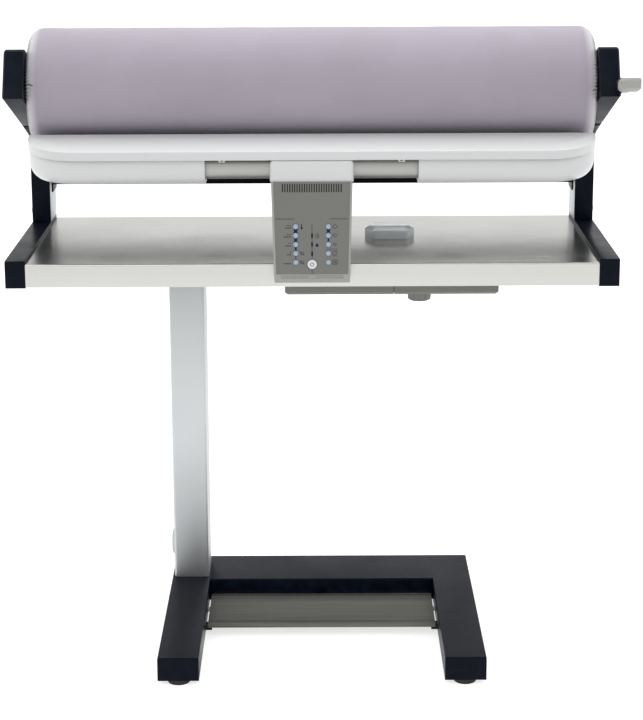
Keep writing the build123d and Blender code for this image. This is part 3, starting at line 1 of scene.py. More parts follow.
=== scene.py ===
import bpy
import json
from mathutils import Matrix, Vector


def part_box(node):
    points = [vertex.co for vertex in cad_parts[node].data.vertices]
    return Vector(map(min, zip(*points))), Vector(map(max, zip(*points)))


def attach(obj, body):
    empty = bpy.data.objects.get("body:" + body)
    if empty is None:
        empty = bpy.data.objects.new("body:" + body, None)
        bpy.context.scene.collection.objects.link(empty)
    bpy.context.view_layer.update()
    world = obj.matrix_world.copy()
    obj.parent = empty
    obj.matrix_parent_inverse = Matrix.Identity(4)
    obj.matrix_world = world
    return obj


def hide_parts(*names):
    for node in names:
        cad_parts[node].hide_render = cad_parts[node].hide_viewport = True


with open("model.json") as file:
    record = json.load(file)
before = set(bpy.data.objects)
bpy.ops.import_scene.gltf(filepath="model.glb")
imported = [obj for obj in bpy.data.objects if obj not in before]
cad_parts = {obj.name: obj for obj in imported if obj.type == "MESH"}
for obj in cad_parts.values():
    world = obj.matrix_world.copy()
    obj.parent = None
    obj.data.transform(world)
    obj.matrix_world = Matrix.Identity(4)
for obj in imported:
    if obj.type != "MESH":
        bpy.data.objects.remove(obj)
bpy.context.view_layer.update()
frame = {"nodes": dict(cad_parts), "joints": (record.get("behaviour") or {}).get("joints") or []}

import json
import math

import bmesh
import bpy
from mathutils import Matrix, Vector

scene = bpy.context.scene
FULL_TURN = 2 * math.pi
SIDES = ((-1, "left"), (1, "right"))


# ------------------------------------------------------------------ places read from the frame, metres
def measured(node):
    """Lowest and highest corner of a CAD node, rounded to 0.01 mm."""
    return [[round(value, 5) for value in corner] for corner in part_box(node)]


def half_length(node):
    low, high = measured(node)
    return (high[0] - low[0]) / 2


roll_axis = next(joint["pos_m"] for joint in frame["joints"] if joint["name"] == "roll_turn")
HEAD_X, ROLL_Z = roll_axis[0], roll_axis[2]
RADIUS = measured("roll_cover")[1][2] - ROLL_Z
FASCIA_Y = measured("control_fascia")[0][1]
KEY_Y = measured("power_button")[0][1]
FRAME_X = {-1: measured("left_roll_bracket")[0][0], 1: measured("right_roll_bracket")[1][0]}
FRAME_BACK = measured("right_roll_bracket")[1][1]

# ------------------------------------------------------------------ camera
# The photo's lens was level and strongly shifted. This camera looks down instead and is shifted
# only a little, because the other views keep the shift.
CAM_PLACE = (-0.0035, -2.8821, 1.2721)
CAM_PITCH = math.radians(12.39)
CAM_YAW = math.radians(0.046)
CAM_ROLL = math.radians(-0.249)
CAM_LENS = 94.66
CAM_SHIFT = (0.0071, -0.16)

camera = bpy.data.objects.new("camera", bpy.data.cameras.new("camera"))
scene.collection.objects.link(camera)
scene.camera = camera
camera.location = CAM_PLACE
camera.rotation_mode = "QUATERNION"
tilt = Matrix.Rotation(CAM_YAW, 3, "Z") @ Matrix.Rotation(math.pi / 2 - CAM_PITCH, 3, "X")
camera.rotation_quaternion = (tilt @ Matrix.Rotation(CAM_ROLL, 3, "Z")).to_quaternion()
camera.data.sensor_width = 36
camera.data.lens = CAM_LENS
camera.data.shift_x, camera.data.shift_y = CAM_SHIFT
camera.data.clip_start, camera.data.clip_end = 0.05, 60
scene.view_settings.view_transform = "Standard"


# ------------------------------------------------------------------ node helpers
class Nodes:
    """Short calls for the nodes of one tree."""

    def __init__(self, tree):
        self.tree = tree
        tree.nodes.clear()

    def add(self, kind, **inputs):
        """New node; an input's name is written with _ for each space."""
        node = self.tree.nodes.new("ShaderNode" + kind)
        for name, value in inputs.items():
            node.inputs[name.replace("_", " ")].default_value = value
        return node

    def link(self, source, target):
        self.tree.links.new(source, target)

    def calc(self, operation, a, b=None):
        node = self.add("Math")
        node.operation = operation
        for socket, value in zip(node.inputs, (a, b)):
            if isinstance(value, (int, float)):
                socket.default_value = value
            elif value is not None:
                self.link(value, socket)
        return node.outputs[0]

    def spread(self, value, low, high, from_low=0.3, from_high=0.7):
        """Value carried from one range to another and held at the ends."""
        node = self.add("MapRange", From_Min=from_low, From_Max=from_high, To_Min=low, To_Max=high)
        self.link(value, node.inputs["Value"])
        return node.outputs[0]

    def split(self, vector):
        """The x, y and z of a vector."""
        node = self.add("SeparateXYZ")
        self.link(vector, node.inputs[0])
        return node.outputs[0:3]


class Material(Nodes):
    """A material round one principled shader, in the object's own coordinates."""

    def __init__(self, name, color, metallic=0.0, rough=0.5, **sockets):
        self.mat = bpy.data.materials.new(name)
        self.mat.use_nodes = True
        self.mat.diffuse_color = (*color, 1)
        super().__init__(self.mat.node_tree)
        self.out = self.add("OutputMaterial")
        self.bsdf = self.add("BsdfPrincipled", Base_Color=(*color, 1), Metallic=metallic, Roughness=rough,
                             **sockets)
        self.link(self.bsdf.outputs[0], self.out.inputs[0])
        self.object = self.add("TexCoord").outputs["Object"]

    def stretched(self, scale):
        node = self.add("Mapping", Scale=scale)
        self.link(self.object, node.inputs["Vector"])
        return node.outputs[0]

    def noise(self, scale, detail=3.0, rough=0.55, vector=None, distortion=0.0):
        node = self.add("TexNoise", Scale=scale, Detail=detail, Roughness=rough, Distortion=distortion)
        self.link(vector or self.object, node.inputs["Vector"])
        return node.outputs["Fac"]

    def blend(self, value, low_color, high_color, low=0.3, high=0.7):
        """Colour that runs from one to the other while the value runs from low to high."""
        node = self.add("ValToRGB")
        stops = zip(node.color_ramp.elements, (low, high), (low_color, high_color))
        for element, place, color in stops:
            element.position = place
            element.color = (*color, 1)
        self.link(value, node.inputs[0])
        return node.outputs[0]

    def mix(self, factor, a, b, blend_type="MIX"):
        """A coloured socket mixed with a plain colour."""
        node = self.add("Mix")
        node.data_type = "RGBA"
        node.blend_type = blend_type
        self.link(factor, node.inputs["Factor"])
        self.link(a, node.inputs["A"])
        node.inputs["B"].default_value = (*b, 1)
        return node.outputs["Result"]

    def color(self, socket):
        self.link(socket, self.bsdf.inputs["Base Color"])

    def roughness(self, socket):
        self.link(socket, self.bsdf.inputs["Roughness"])

    def bump(self, height, strength, distance, before=None):
        node = self.add("Bump", Strength=strength, Distance=distance)
        self.link(height, node.inputs["Height"])
        if before is not None:
            self.link(before, node.inputs["Normal"])
        self.link(node.outputs[0], self.bsdf.inputs["Normal"])
        return node.outputs[0]


def shade(color, factor):
    return tuple(min(1.0, max(0.0, channel * factor)) for channel in color)


def srgb(*rgb):
    """Linear colour of an sRGB triple of 0 to 255."""
    shares = [value / 255 for value in rgb]
    return tuple(v / 12.92 if v <= 0.04045 else ((v + 0.055) / 1.055) ** 2.4 for v in shares)


# ------------------------------------------------------------------ materials
def plastic(name, rgb, rough, coat=0.0, grain=0.0004, tone=0.04, grain_scale=900, scuffs=1.0):
    """Moulded plastic: faint tone drift, fine texture and a few soft scuffs."""
    base = srgb(*rgb)
    m = Material(name, base, 0.0, rough, Coat_Weight=coat, Coat_Roughness=0.08, IOR=1.5)
    drift = m.noise(9.0, 2.0)
    m.color(m.blend(drift, shade(base, 1 - tone), shade(base, 1 + tone * 0.6)))
    fine = m.noise(grain_scale, 2.0)
    scuffed = m.spread(m.noise(38.0, 5.0, 0.65), -0.035 * scuffs, 0.05 * scuffs)
    m.roughness(m.calc("ADD", scuffed, m.spread(fine, rough - 0.02, rough + 0.02)))
    m.bump(fine, 0.25, grain)
    return m.mat


def paint(name, rgb, rough, tone=0.10):
    """Powder-coated steel: orange-peel surface, faint dust, and lighter edges that stand for rubbed paint and
    also for a painted highlight along them.
    """
    base = srgb(*rgb)
    m = Material(name, base, 0.0, rough, IOR=1.5, Specular_IOR_Level=0.07)
    drift = m.noise(14.0, 4.0, 0.6)
    edges = m.spread(m.add("NewGeometry").outputs["Pointiness"], 0.0, 1.0, 0.53, 0.60)
    # lighter colour on sharp edges: partly rubbed paint, partly a painted highlight where the bevels catch
    # light
    worn_and_highlit_edges = m.calc("MULTIPLY", edges, m.spread(m.noise(60.0, 4.0), 0.0, 0.55, 0.4, 0.65))
    coat = m.blend(drift, shade(base, 1 - tone), shade(base, 1 + tone))
    m.color(m.mix(worn_and_highlit_edges, coat, shade(base, 3.4)))
    m.roughness(m.spread(drift, rough - 0.05, rough + 0.07))
    peel = m.noise(420.0, 2.0)
    m.bump(peel, 0.22, 0.0004)
    return m.mat


def metal(name, rgb, rough, axis, gloss, tone, across, along, bump, aniso=0.0):
    """Metal with a drawn or brushed grain along one axis of the object: gloss and tone are how much
    they drift, across and along how fine the grain is."""
    base = srgb(*rgb)
    m = Material(name, base, 1.0, rough, Anisotropic=aniso)
    stretch = tuple(along if letter == axis else across for letter in "XYZ")
    lines = m.noise(1.0, 5.0, 0.7, m.stretched(stretch))
    broad = m.noise(1.0, 3.0, 0.5, m.stretched(tuple(max(1.2, scale / 16) for scale in stretch)))
    cloud = m.noise(7.0, 3.0, 0.6)
    grain = m.calc("ADD", m.calc("MULTIPLY", lines, 0.6), m.calc("MULTIPLY", broad, 0.4))
    m.color(m.blend(grain, shade(base, 1 - tone * 1.6), shade(base, 1 + tone), 0.32, 0.68))
    brushed = m.spread(grain, rough - gloss / 2, rough + gloss / 2)
    m.roughness(m.calc("ADD", brushed, m.spread(cloud, -0.03, 0.04)))
    m.bump(lines, bump, 0.0003)
    return m.mat


def rubber(name, rgb, rough=0.75):
    """Dull rubber with dust in its pores."""
    base = srgb(*rgb)
    m = Material(name, base, 0.0, rough)
    dust = m.noise(55.0, 5.0, 0.7)
    m.color(m.blend(dust, base, shade(base, 2.2), 0.35, 0.8))
    m.roughness(m.spread(dust, rough - 0.08, rough + 0.1))
    m.bump(m.noise(1500.0, 2.0), 0.3, 0.0003)
    return m.mat


def cloth(name, rgb, lit_end_rgb, pitch, tone, sheen, lit_band):
    """Woven cotton on the roll: its threads run along the roll and round it. Past the lit band, a pair of
    distances from the middle, the cloth is painted lighter, a painted highlight for the side light on the
    rounded ends."""
    base = srgb(*rgb)
    m = Material(name, base, 0.0, 0.9, Sheen_Weight=sheen, Sheen_Roughness=0.45)
    x, y, z = m.split(m.object)
    turn = m.calc("ARCTAN2", m.calc("SUBTRACT", z, ROLL_Z), y)
    round_way = m.calc("MULTIPLY", turn, RADIUS)
    wobble = m.calc("MULTIPLY", m.noise(180.0, 2.0), 2.2)
    warp, weft = (
        m.calc("SINE", m.calc("ADD", m.calc("MULTIPLY", way, FULL_TURN / pitch), wobble))
        for way in (x, round_way)
    )
    weave = m.calc("MULTIPLY", warp, weft)
    slub = m.noise(1.0, 3.0, 0.6, m.stretched((30, 900, 900)))
    drift = m.noise(6.0, 4.0, 0.6)
    nap = m.noise(2600.0, 2.0)
    uneven = m.calc("ADD", m.calc("MULTIPLY", drift, 0.7), m.calc("MULTIPLY", slub, 0.3))
    tint = m.blend(uneven, shade(base, 1 - tone), shade(base, 1 + tone * 0.7), 0.35, 0.65)
    from_middle = m.calc("ABSOLUTE", m.calc("SUBTRACT", x, HEAD_X))
    # painted highlight: past the lit band the cloth turns to a lighter colour, for the side light on the
    # rounded ends
    painted_light_ends = m.mix(m.spread(from_middle, 0.0, 1.0, *lit_band), tint, srgb(*lit_end_rgb))
    m.color(m.mix(m.spread(weave, 0.0, 0.24, -0.2, -1.0), painted_light_ends, (0.55, 0.55, 0.6), "MULTIPLY"))
    m.roughness(m.spread(nap, 0.85, 0.95))
    m.bump(nap, 0.2, 0.0002, m.bump(weave, 0.35, 0.00025))
    return m.mat


def felt(name, rgb):
    """Matted fibres."""
    base = srgb(*rgb)
    m = Material(name, base, 0.0, 0.95, Sheen_Weight=0.3)
    fibre = m.noise(700.0, 6.0, 0.75, distortion=1.2)
    m.color(m.blend(fibre, shade(base, 0.8), shade(base, 1.05)))
    m.roughness(m.spread(fibre, 0.88, 0.98))
    m.bump(fibre, 0.6, 0.0008)
    return m.mat


def printed(name, rgb, rough=0.45):
    """Screen-printed ink, which covers a little unevenly; also spun thread."""
    base = srgb(*rgb)
    m = Material(name, base, 0.0, rough, Specular_IOR_Level=0.2)
    cover = m.noise(1400.0, 3.0)
    m.color(m.blend(cover, shade(base, 0.9), shade(base, 1.08)))
    m.roughness(m.spread(cover, rough - 0.06, rough + 0.06))
    m.bump(cover, 0.15, 0.0001)
    return m.mat


DRAWN = {"gloss": 0.06, "tone": 0.02, "across": 700.0, "along": 3.0, "bump": 0.03}

MATS = {
    "navy": paint("navy_paint", (10, 15, 26), 0.34),
    "white": plastic("white_gloss_plastic", (231, 232, 231), 0.30, coat=0.1, grain=0.0001, tone=0.006,
                     scuffs=0.2),
    "light_grey": plastic("light_grey_plastic", (172, 172, 167), 0.42, tone=0.02),
    "fascia": plastic("fascia_grey_plastic", (123, 123, 118), 0.46, tone=0.02, grain=0.0003),
    "housing": plastic("housing_grey_plastic", (140, 141, 135), 0.55, tone=0.05),
    "cap": plastic("cap_grey_plastic", (206, 211, 214), 0.16, coat=0.5, tone=0.02),
    "satin": metal("satin_aluminium", (196, 199, 200), 0.54, "Z", **DRAWN),
    "satin_x": metal("satin_aluminium_tube", (160, 160, 157), 0.48, "X", **DRAWN),
    "lever": metal("lever_aluminium", (152, 152, 148), 0.36, "X", gloss=0.08, tone=0.03, across=600.0,
                   along=3.0, bump=0.03),
    "stainless": metal("brushed_stainless", (190, 190, 186), 0.24, "X", gloss=0.03, tone=0.025,
                       across=1500.0, along=60.0, bump=0.05, aniso=0.35),
    "zinc": metal("zinc_plated_steel", (170, 172, 175), 0.38, "X", gloss=0.08, tone=0.08, across=260.0,
                  along=60.0, bump=0.08),
    "pedal": metal("pedal_aluminium", (110, 111, 106), 0.62, "X", gloss=0.16, tone=0.34, across=520.0,
                   along=5.0, bump=0.10),
    # painted shade: the shoe plate is made dark to stand for the shade in its cavity under the roll
    "shoe": metal("shoe_painted_dark", (92, 92, 95), 0.30, "X", gloss=0.05, tone=0.03, across=500.0,
                  along=4.0, bump=0.02),
    "rubber": rubber("black_rubber", (26, 26, 28)),
    # the lighter colour at the ends is a painted highlight
    "cotton": cloth("cotton_cover", (181, 173, 185), (226, 222, 226), pitch=0.0015, tone=0.07,
                    sheen=0.55, lit_band=(0.409, 0.420)),
    "felt": felt("padding_felt", (222, 218, 206)),
    "stitch": printed("stitching_thread", (240, 238, 240), 0.7),
    # painted shade: the dark colour of the crease lines on the cover
    "thread": printed("crease_shade_line", (74, 64, 76), 0.8),
    "key": plastic("key_blue_plastic", (158, 180, 196), 0.30, coat=0.2, tone=0.03),
    "button": plastic("button_white_plastic", (240, 240, 240), 0.25, coat=0.3, tone=0.015),
    "circuit": plastic("circuit_green", (30, 96, 62), 0.45, tone=0.15, grain_scale=400),
    "ink_blue": printed("ink_dark_blue", (12, 30, 74)),
    "ink_grey": printed("ink_dark_grey", (50, 54, 64)),
    "ink_black": printed("ink_black", (18, 19, 22)),
    "ink_white": printed("ink_white", (226, 230, 232)),
    # painted shade: black for the sheets behind the fascia's openings
    "shade_black": rubber("painted_shade_black", (22, 23, 26), 0.6),
}

# ------------------------------------------------------------------ finish of the CAD pieces
KEY_ROWS = range(1, 6)
NODE_MATS = {
    "navy": ("base_left_beam", "base_right_beam", "base_rear_beam", "head_carrier", "tray_arms",
             "post_covers", "left_roll_bracket", "right_roll_bracket", "rear_tie_bar"),
    "rubber": ("rubber_glides", "cord_gland", "pedal_stops"),
    "satin": ("column", "column_side_cap", "posts"),
    "satin_x": ("cross_tube",),
    "lever": ("release_lever",),
    "zinc": ("column_head_plate", "column_bolts", "roll_motor", "roll_bearing", "lift_gear_motor",
             "pivot_pins", "roll_tube", "roll_discs", "heating_rods", "shoe_trough", "left_shoe_arm",
             "right_shoe_arm", "tube_clamps", "lift_cam"),
    "stainless": ("tray",),
    "cap": ("tray_cap",),
    "housing": ("electrics_housing_left", "electrics_housing_right", "knob", "pedal_switch"),
    "circuit": ("power_board", "control_board"),
    "felt": ("roll_padding",),
    "cotton": ("roll_cover",),
    "shoe": ("shoe_plate",),
    "white": ("feed_board", "left_lower_shell", "right_lower_shell", "control_housing"),
    "light_grey": ("control_box",),
    "fascia": ("control_fascia",),
    "pedal": ("foot_pedal",),
    "button": ("power_button",),
    "key": tuple(f"key_{word}_{row}" for _, word in SIDES for row in KEY_ROWS),
}
SOFT_EDGES = {
    "navy": 0.0014, "white": 0.0008, "light_grey": 0.0006, "satin": 0.0006, "housing": 0.0008,
    "zinc": 0.0004, "satin_x": 0.0005, "lever": 0.0006, "cap": 0.0005,
}
WELD_REACH = 0.000004
SOFT_ANGLE = math.radians(50)
CRISP_ANGLE = math.radians(28)


def dress(obj, finish):
    """Material, smooth faces and softened edges for one CAD piece, by modifiers alone."""
    obj.data.materials.clear()
    obj.data.materials.append(MATS[finish])
    for polygon in obj.data.polygons:
        polygon.use_smooth = True
        polygon.material_index = 0
    if "custom_normal" in obj.data.attributes:
        obj.data.attributes.remove(obj.data.attributes["custom_normal"])
    obj.modifiers.new("weld", "WELD").merge_threshold = WELD_REACH
    if finish in SOFT_EDGES:
        soft = obj.modifiers.new("soft_edges", "BEVEL")
        soft.width = SOFT_EDGES[finish]
        soft.segments = 2
        soft.limit_method = "ANGLE"
        soft.angle_limit = SOFT_ANGLE
        soft.harden_normals = False
    crisp = obj.modifiers.new("crisp_edges", "EDGE_SPLIT")
    crisp.split_angle = CRISP_ANGLE
    crisp.use_edge_sharp = False


for finish, names in NODE_MATS.items():
    for name in names:
        dress(frame["nodes"][name], finish)


# ------------------------------------------------------------------ mesh helpers
def new_piece(name, bm, material, body, smooth=True):
    """Object from a bmesh, which rides on a body and takes one of the materials above."""
    bmesh.ops.recalc_face_normals(bm, faces=bm.faces)
    mesh = bpy.data.meshes.new(name)
    bm.to_mesh(mesh)
    bm.free()
    for polygon in mesh.polygons:
        polygon.use_smooth = smooth
    mesh.materials.append(MATS[material])
    obj = bpy.data.objects.new(name, mesh)
    scene.collection.objects.link(obj)
    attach(obj, body)
    return obj


def add_skin(bm, rings, looped=False, capped=False):
    """Skin over closed rings of points: looped joins the last ring to the first, capped closes both ends."""
    table = [[bm.verts.new(point) for point in ring] for ring in rings]
    pairs = list(zip(table, table[1:]))
    if looped:
        pairs.append((table[-1], table[0]))
    for here, there in pairs:
        for i in range(len(here)):
            j = (i + 1) % len(here)
            bm.faces.new((here[i], here[j], there[j], there[i]))
    if capped:
        bm.faces.new(table[0])
        bm.faces.new(list(reversed(table[-1])))


def turns(count):
    return [FULL_TURN * step / count for step in range(count)]


def on_roll(x, radius, turn):
    """Point at x from the roll's middle, along its axis."""
    return (HEAD_X + x, radius * math.cos(turn), ROLL_Z + radius * math.sin(turn))


# ------------------------------------------------------------------ cotton cover of the roll, metres
HALF = half_length("roll_cover") - 0.0002     # without the stitched edge
HEM = 0.052                                   # radius of the hem on the end face
END_RUN = 0.020                               # the ends round off over this length ...
END_DROP = 0.015                              # ... and this much of the radius
EDGE = RADIUS - END_DROP                      # radius where the rounding meets the end face
COVER_STEPS = 720
CROWN_RINGS = 12
END_RINGS = 20
FOLD_DEPTH = 0.0020
FOLD_PULL = 0.0016                            # how far a fold draws the end face in
SLACK = 0.0004


def pleat(turn, side):
    """How deep the gathers are at an angle, 0 to 1: shallow waves with a few deeper folds between."""
    phase = 1.7 if side < 0 else 4.1
    fine = abs(math.sin(36 * turn + 0.9 * math.sin(3 * turn + phase) + 0.5 * math.sin(11 * turn)))
    big = (1 - abs(math.sin(7 * turn + 1.2 * math.sin(2 * turn + phase)))) ** 7
    weight = 0.62 + 0.38 * math.sin(5 * turn + phase) * math.sin(2 * turn + 1)
    return min(1.0, (1 - fine) ** 1.5 * weight + 0.6 * big)


def cover_ring(side, x, radius, draw):
    """Ring of the cover: draw is how gathered it is here, 0 to 1."""
    ring = []
    for turn in turns(COVER_STEPS):
        depth = pleat(turn, side) * draw
        slack = SLACK * math.sin(2 * turn + 31 * x) * (1 - draw)
        ring.append(on_roll(side * (x - FOLD_PULL * depth), radius - FOLD_DEPTH * depth - abs(slack), turn))
    return ring


def cover_profile():
    """Half profile from the middle to the hem, as (x, radius, draw)."""
    crown = HALF - END_RUN
    rows = [(crown * i / CROWN_RINGS, RADIUS - 0.0001, 0.0) for i in range(CROWN_RINGS)]
    for i in range(END_RINGS + 1):
        share = i / END_RINGS
        angle = math.pi / 2 * share
        rows.append((crown + END_RUN * math.sin(angle), EDGE + END_DROP * math.cos(angle),
                     0.05 + 0.75 * share ** 3))
    return rows + [
        (HALF - 0.0008, EDGE - 0.0020, 0.85),
        (HALF - 0.0016, (EDGE + HEM) / 2, 1.0),
        (HALF - 0.0030, HEM - 0.0010, 0.8),
        (HALF - 0.0048, HEM + 0.0006, 0.5),
        (HALF - 0.0050, HEM + 0.0040, 0.3),
    ]


cover_bm = bmesh.new()
profile = cover_profile()
left_rings = [cover_ring(-1, *row) for row in reversed(profile[1:])]
add_skin(cover_bm, left_rings + [cover_ring(1, *row) for row in profile])
cover = new_piece("roll_cover_cloth", cover_bm, "cotton", "roll")
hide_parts("roll_cover")

CORD_THICK = 0.0013
CORD_INSET = 0.0030                           # from the cover's end
CORD_LIFT = 0.0022                            # from the hem's radius
CORD_STEPS = 96


def hem_cord(side, word):
    """Cord in the hem of one end of the cover."""
    rings = []
    for turn in turns(CORD_STEPS):
        wander = 0.0006 * math.sin(13 * turn) + 0.0004 * math.sin(29 * turn + 1)
        ring = []
        for angle in turns(10):
            twisted = angle + 3 * turn
            x = HALF - CORD_INSET + CORD_THICK * math.sin(twisted)
            ring.append(on_roll(side * x, HEM + CORD_LIFT + wander + CORD_THICK * math.cos(twisted), turn))
        rings.append(ring)
    bm = bmesh.new()
    add_skin(bm, rings, looped=True)
    new_piece(f"{word}_hem_cord", bm, "felt", "roll")


STITCHES = 96
STITCH_THICK = 0.0007
STITCH_LEAN = 0.006                           # radians
STITCH_PATH = (                               # x, radius and share of the lean, from the roll to the end face
    (HALF - 0.0052, RADIUS - 0.0052, -1),
    (HALF - 0.0016, RADIUS - 0.0088, -0.5),
    (HALF + 0.0007, EDGE + 0.0020, 0),
    (HALF + 0.0007, EDGE - 0.0010, 0.5),
    (HALF - 0.0012, EDGE - 0.0035, 1),
)


def overcast_edge(side, word):
    """Loops of thread over the edge of one end of the cover."""
    bm = bmesh.new()
    for start in turns(STITCHES):
        lean = STITCH_LEAN * math.sin(7 * start)
        rings = []
        for x, radius, share in STITCH_PATH:
            ring = []
            for angle in turns(6):
                out = 0.7 * STITCH_THICK * math.sin(angle)
                turn = start + lean * share + STITCH_THICK * math.cos(angle) * 1.3 / radius
                ring.append(on_roll(side * (x + out), radius + out, turn))
            rings.append(ring)
        add_skin(bm, rings, capped=True)
    new_piece(f"{word}_overcast_edge", bm, "stitch", "roll")


CREASE_LINE_STEPS = 12
CREASE_LINE_THICK = 0.00075


def crease_shade_line(side, word, from_inset, to_inset, from_turn, to_turn):
    """Dark line on the rounding of the cover, a painted shadow that stands for the shade of a crease: inset
    is from its end, turn round the roll.
    """
    rings = []
    for step in range(CREASE_LINE_STEPS + 1):
        share = step / CREASE_LINE_STEPS
        inset = from_inset + (to_inset - from_inset) * share
        turn = from_turn + (to_turn - from_turn) * math.sin(share * math.pi / 2)
        rounding = END_DROP * math.sqrt(max(0.0, 1 - (1 - inset / END_RUN) ** 2))
        radius = EDGE + rounding - 0.0002
        thick = CREASE_LINE_THICK * math.sin(math.pi * (0.12 + 0.8 * share)) + 0.0001
        rings.append([
            on_roll(side * (HALF - inset), radius + thick * math.cos(angle),
                    turn + thick * math.sin(angle) / radius)
            for angle in turns(8)
        ])
    bm = bmesh.new()
    add_skin(bm, rings, capped=True)
    new_piece(f"{word}_crease_shade_line", bm, "thread", "roll")


for side, word in SIDES:
    hem_cord(side, word)
for side, word in SIDES:
    overcast_edge(side, word)
# painted shadow: one dark line at each end for the shade of a crease
crease_shade_line(-1, "left", 0.0006, 0.0125, 2.930, 2.985)
crease_shade_line(1, "right", 0.0006, 0.0080, 3.030, 3.110)

# felt padding under the cover, in one crowned form with a ragged cut end
PAD_HALF = half_length("roll_padding") - 0.0020
PAD_RADIUS = measured("roll_padding")[1][2] - ROLL_Z - 0.0008
PAD_END = ((0.0010, 0.0107), (0.0, 0.0077), (0.0045, 0.0042), (0.0145, 0.0007))   # inset, drop
PAD_STEPS = 120


def pad_ring(x, radius):
    ring = []
    for turn in turns(PAD_STEPS):
        ragged = 0.0004 * math.sin(23 * turn + 9 * x) + 0.0003 * math.sin(41 * turn)
        ring.append(on_roll(x + ragged, radius + ragged * 0.5, turn))
    return ring


pad_left = [(inset - PAD_HALF, PAD_RADIUS - drop) for inset, drop in PAD_END]
pad_right = [(-x, radius) for x, radius in reversed(pad_left)]
pad_bm = bmesh.new()
add_skin(pad_bm, [pad_ring(*row) for row in pad_left + [(0.0, PAD_RADIUS)] + pad_right])
pad = new_piece("roll_padding_felt", pad_bm, "felt", "roll")
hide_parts("roll_padding")


# ------------------------------------------------------------------ printed marks on the fascia
# Their outlines are in millimetres: x from the head's middle, and z.
def centre(node):
    low, high = measured(node)
    return 1000 * ((low[0] + high[0]) / 2 - HEAD_X), 500 * (low[2] + high[2])


def prism(bm, outline, y_front, y_back):
    """Flat shape with straight sides."""
    front, back = (
        [bm.verts.new((HEAD_X + x / 1000, y, z / 1000)) for x, z in outline]
        for y in (y_front, y_back)
    )
    bm.faces.new(front)
    bm.faces.new(list(reversed(back)))
    for i in range(len(front)):
        j = (i + 1) % len(front)
        bm.faces.new((front[i], back[i], back[j], front[j]))


def ring(bm, middle, outer, inner, y_front, y_back, steps, start=0.0, sweep=360.0):
    """Flat ring, or an arc of it, round its middle; start and sweep in degrees."""
    full = sweep >= 360.0
    rows = []
    for i in range(steps if full else steps + 1):
        angle = math.radians(start + sweep * i / steps)
        rows.append([
            bm.verts.new((HEAD_X + (middle[0] + radius * math.cos(angle)) / 1000, y,
                          (middle[1] + radius * math.sin(angle)) / 1000))
            for radius, y in ((outer, y_front), (inner, y_front), (inner, y_back), (outer, y_back))
        ])
    for here, there in zip(rows, rows[1:] + rows[:1] if full else rows[1:]):
        for k in range(4):
            nxt = (k + 1) % 4
            bm.faces.new((here[k], here[nxt], there[nxt], there[k]))
    if not full:
        bm.faces.new(rows[0])
        bm.faces.new(list(reversed(rows[-1])))


def block(x_low, x_high, z_low, z_high):
    return [(x_low, z_low), (x_high, z_low), (x_high, z_high), (x_low, z_high)]


def disc(x, z, radius, steps):
    return [(x + radius * math.cos(angle), z + radius * math.sin(angle)) for angle in turns(steps)]


def stroke(a, b, width):
    """Straight line of a given width from a to b."""
    dx, dz = b[0] - a[0], b[1] - a[1]
    size = math.hypot(dx, dz)
    nx, nz = -dz / size * width / 2, dx / size * width / 2
    return [(a[0] + nx, a[1] + nz), (a[0] - nx, a[1] - nz), (b[0] - nx, b[1] - nz), (b[0] + nx, b[1] + nz)]


INK_FRONT = FASCIA_Y - 0.00006
INK_OVER = FASCIA_Y - 0.00010                 # front of the ink that is printed over other ink
INK_BACK = FASCIA_Y + 0.00010
PANEL = {which: bmesh.new() for which in ("ink_blue", "ink_grey", "ink_black")}


def ink(which, outline, front=INK_FRONT):
    prism(PANEL[which], outline, front, INK_BACK)


def ink_ring(middle, outer, inner, steps, start=0.0, sweep=360.0):
    ring(PANEL["ink_grey"], middle, outer, inner, INK_FRONT, INK_BACK, steps, start, sweep)


KEY_X = centre("key_right_1")[0]
KEY_Z = [centre(f"key_right_{row}")[1] for row in KEY_ROWS]
BUTTON = centre("power_button")
KEY_RING = (4.55, 4.28)                       # outer and inner radius
BUTTON_RING = (7.7, 7.2)
LINK_GAP = 4.0                                # from a key's middle to the bar between two keys
LINK_BARS = {                                 # half width at the ends and at the waist
    -KEY_X: ((3.6, 2.4), (2.9, 1.9), (1.7, 1.2), (0.7, 0.5)),
    KEY_X: ((3.2, 2.1), (1.6, 1.0)),
}
for x, bars in LINK_BARS.items():
    for (wide, waist), upper, lower in zip(bars, KEY_Z, KEY_Z[1:]):
        top, foot = upper - LINK_GAP, lower + LINK_GAP
        middle = (top + foot) / 2
        ink("ink_blue", [(x - wide, top), (x - waist, middle), (x - wide, foot),
                         (x + wide, foot), (x + waist, middle), (x + wide, top)])
for x in LINK_BARS:
    for z in KEY_Z:
        ink_ring((x, z), *KEY_RING, 40)
ink_ring(BUTTON, *BUTTON_RING, 48)

# lines between the groups
DIVIDER_FOOT, DIVIDER_TOP = 715.6, 716.5
ink("ink_grey", block(-53.0, -25.6, DIVIDER_FOOT, DIVIDER_TOP))
ink("ink_grey", block(25.4, 52.0, DIVIDER_FOOT, DIVIDER_TOP))
ink("ink_grey", block(21.0, 37.6, 670.6, 671.3))

# level column in the middle, with three stops on it
COLUMN_HALF = 0.45
STOP_HALF = 1.3
for foot, top in ((657.6, 707.4), (634.6, 639.6)):
    ink("ink_grey", block(-COLUMN_HALF, COLUMN_HALF, foot, top))
for foot, top in ((687.8, 694.4), (674.7, 681.2), (660.6, 667.2)):
    ink("ink_black", block(-STOP_HALF, STOP_HALF, foot, top), INK_OVER)

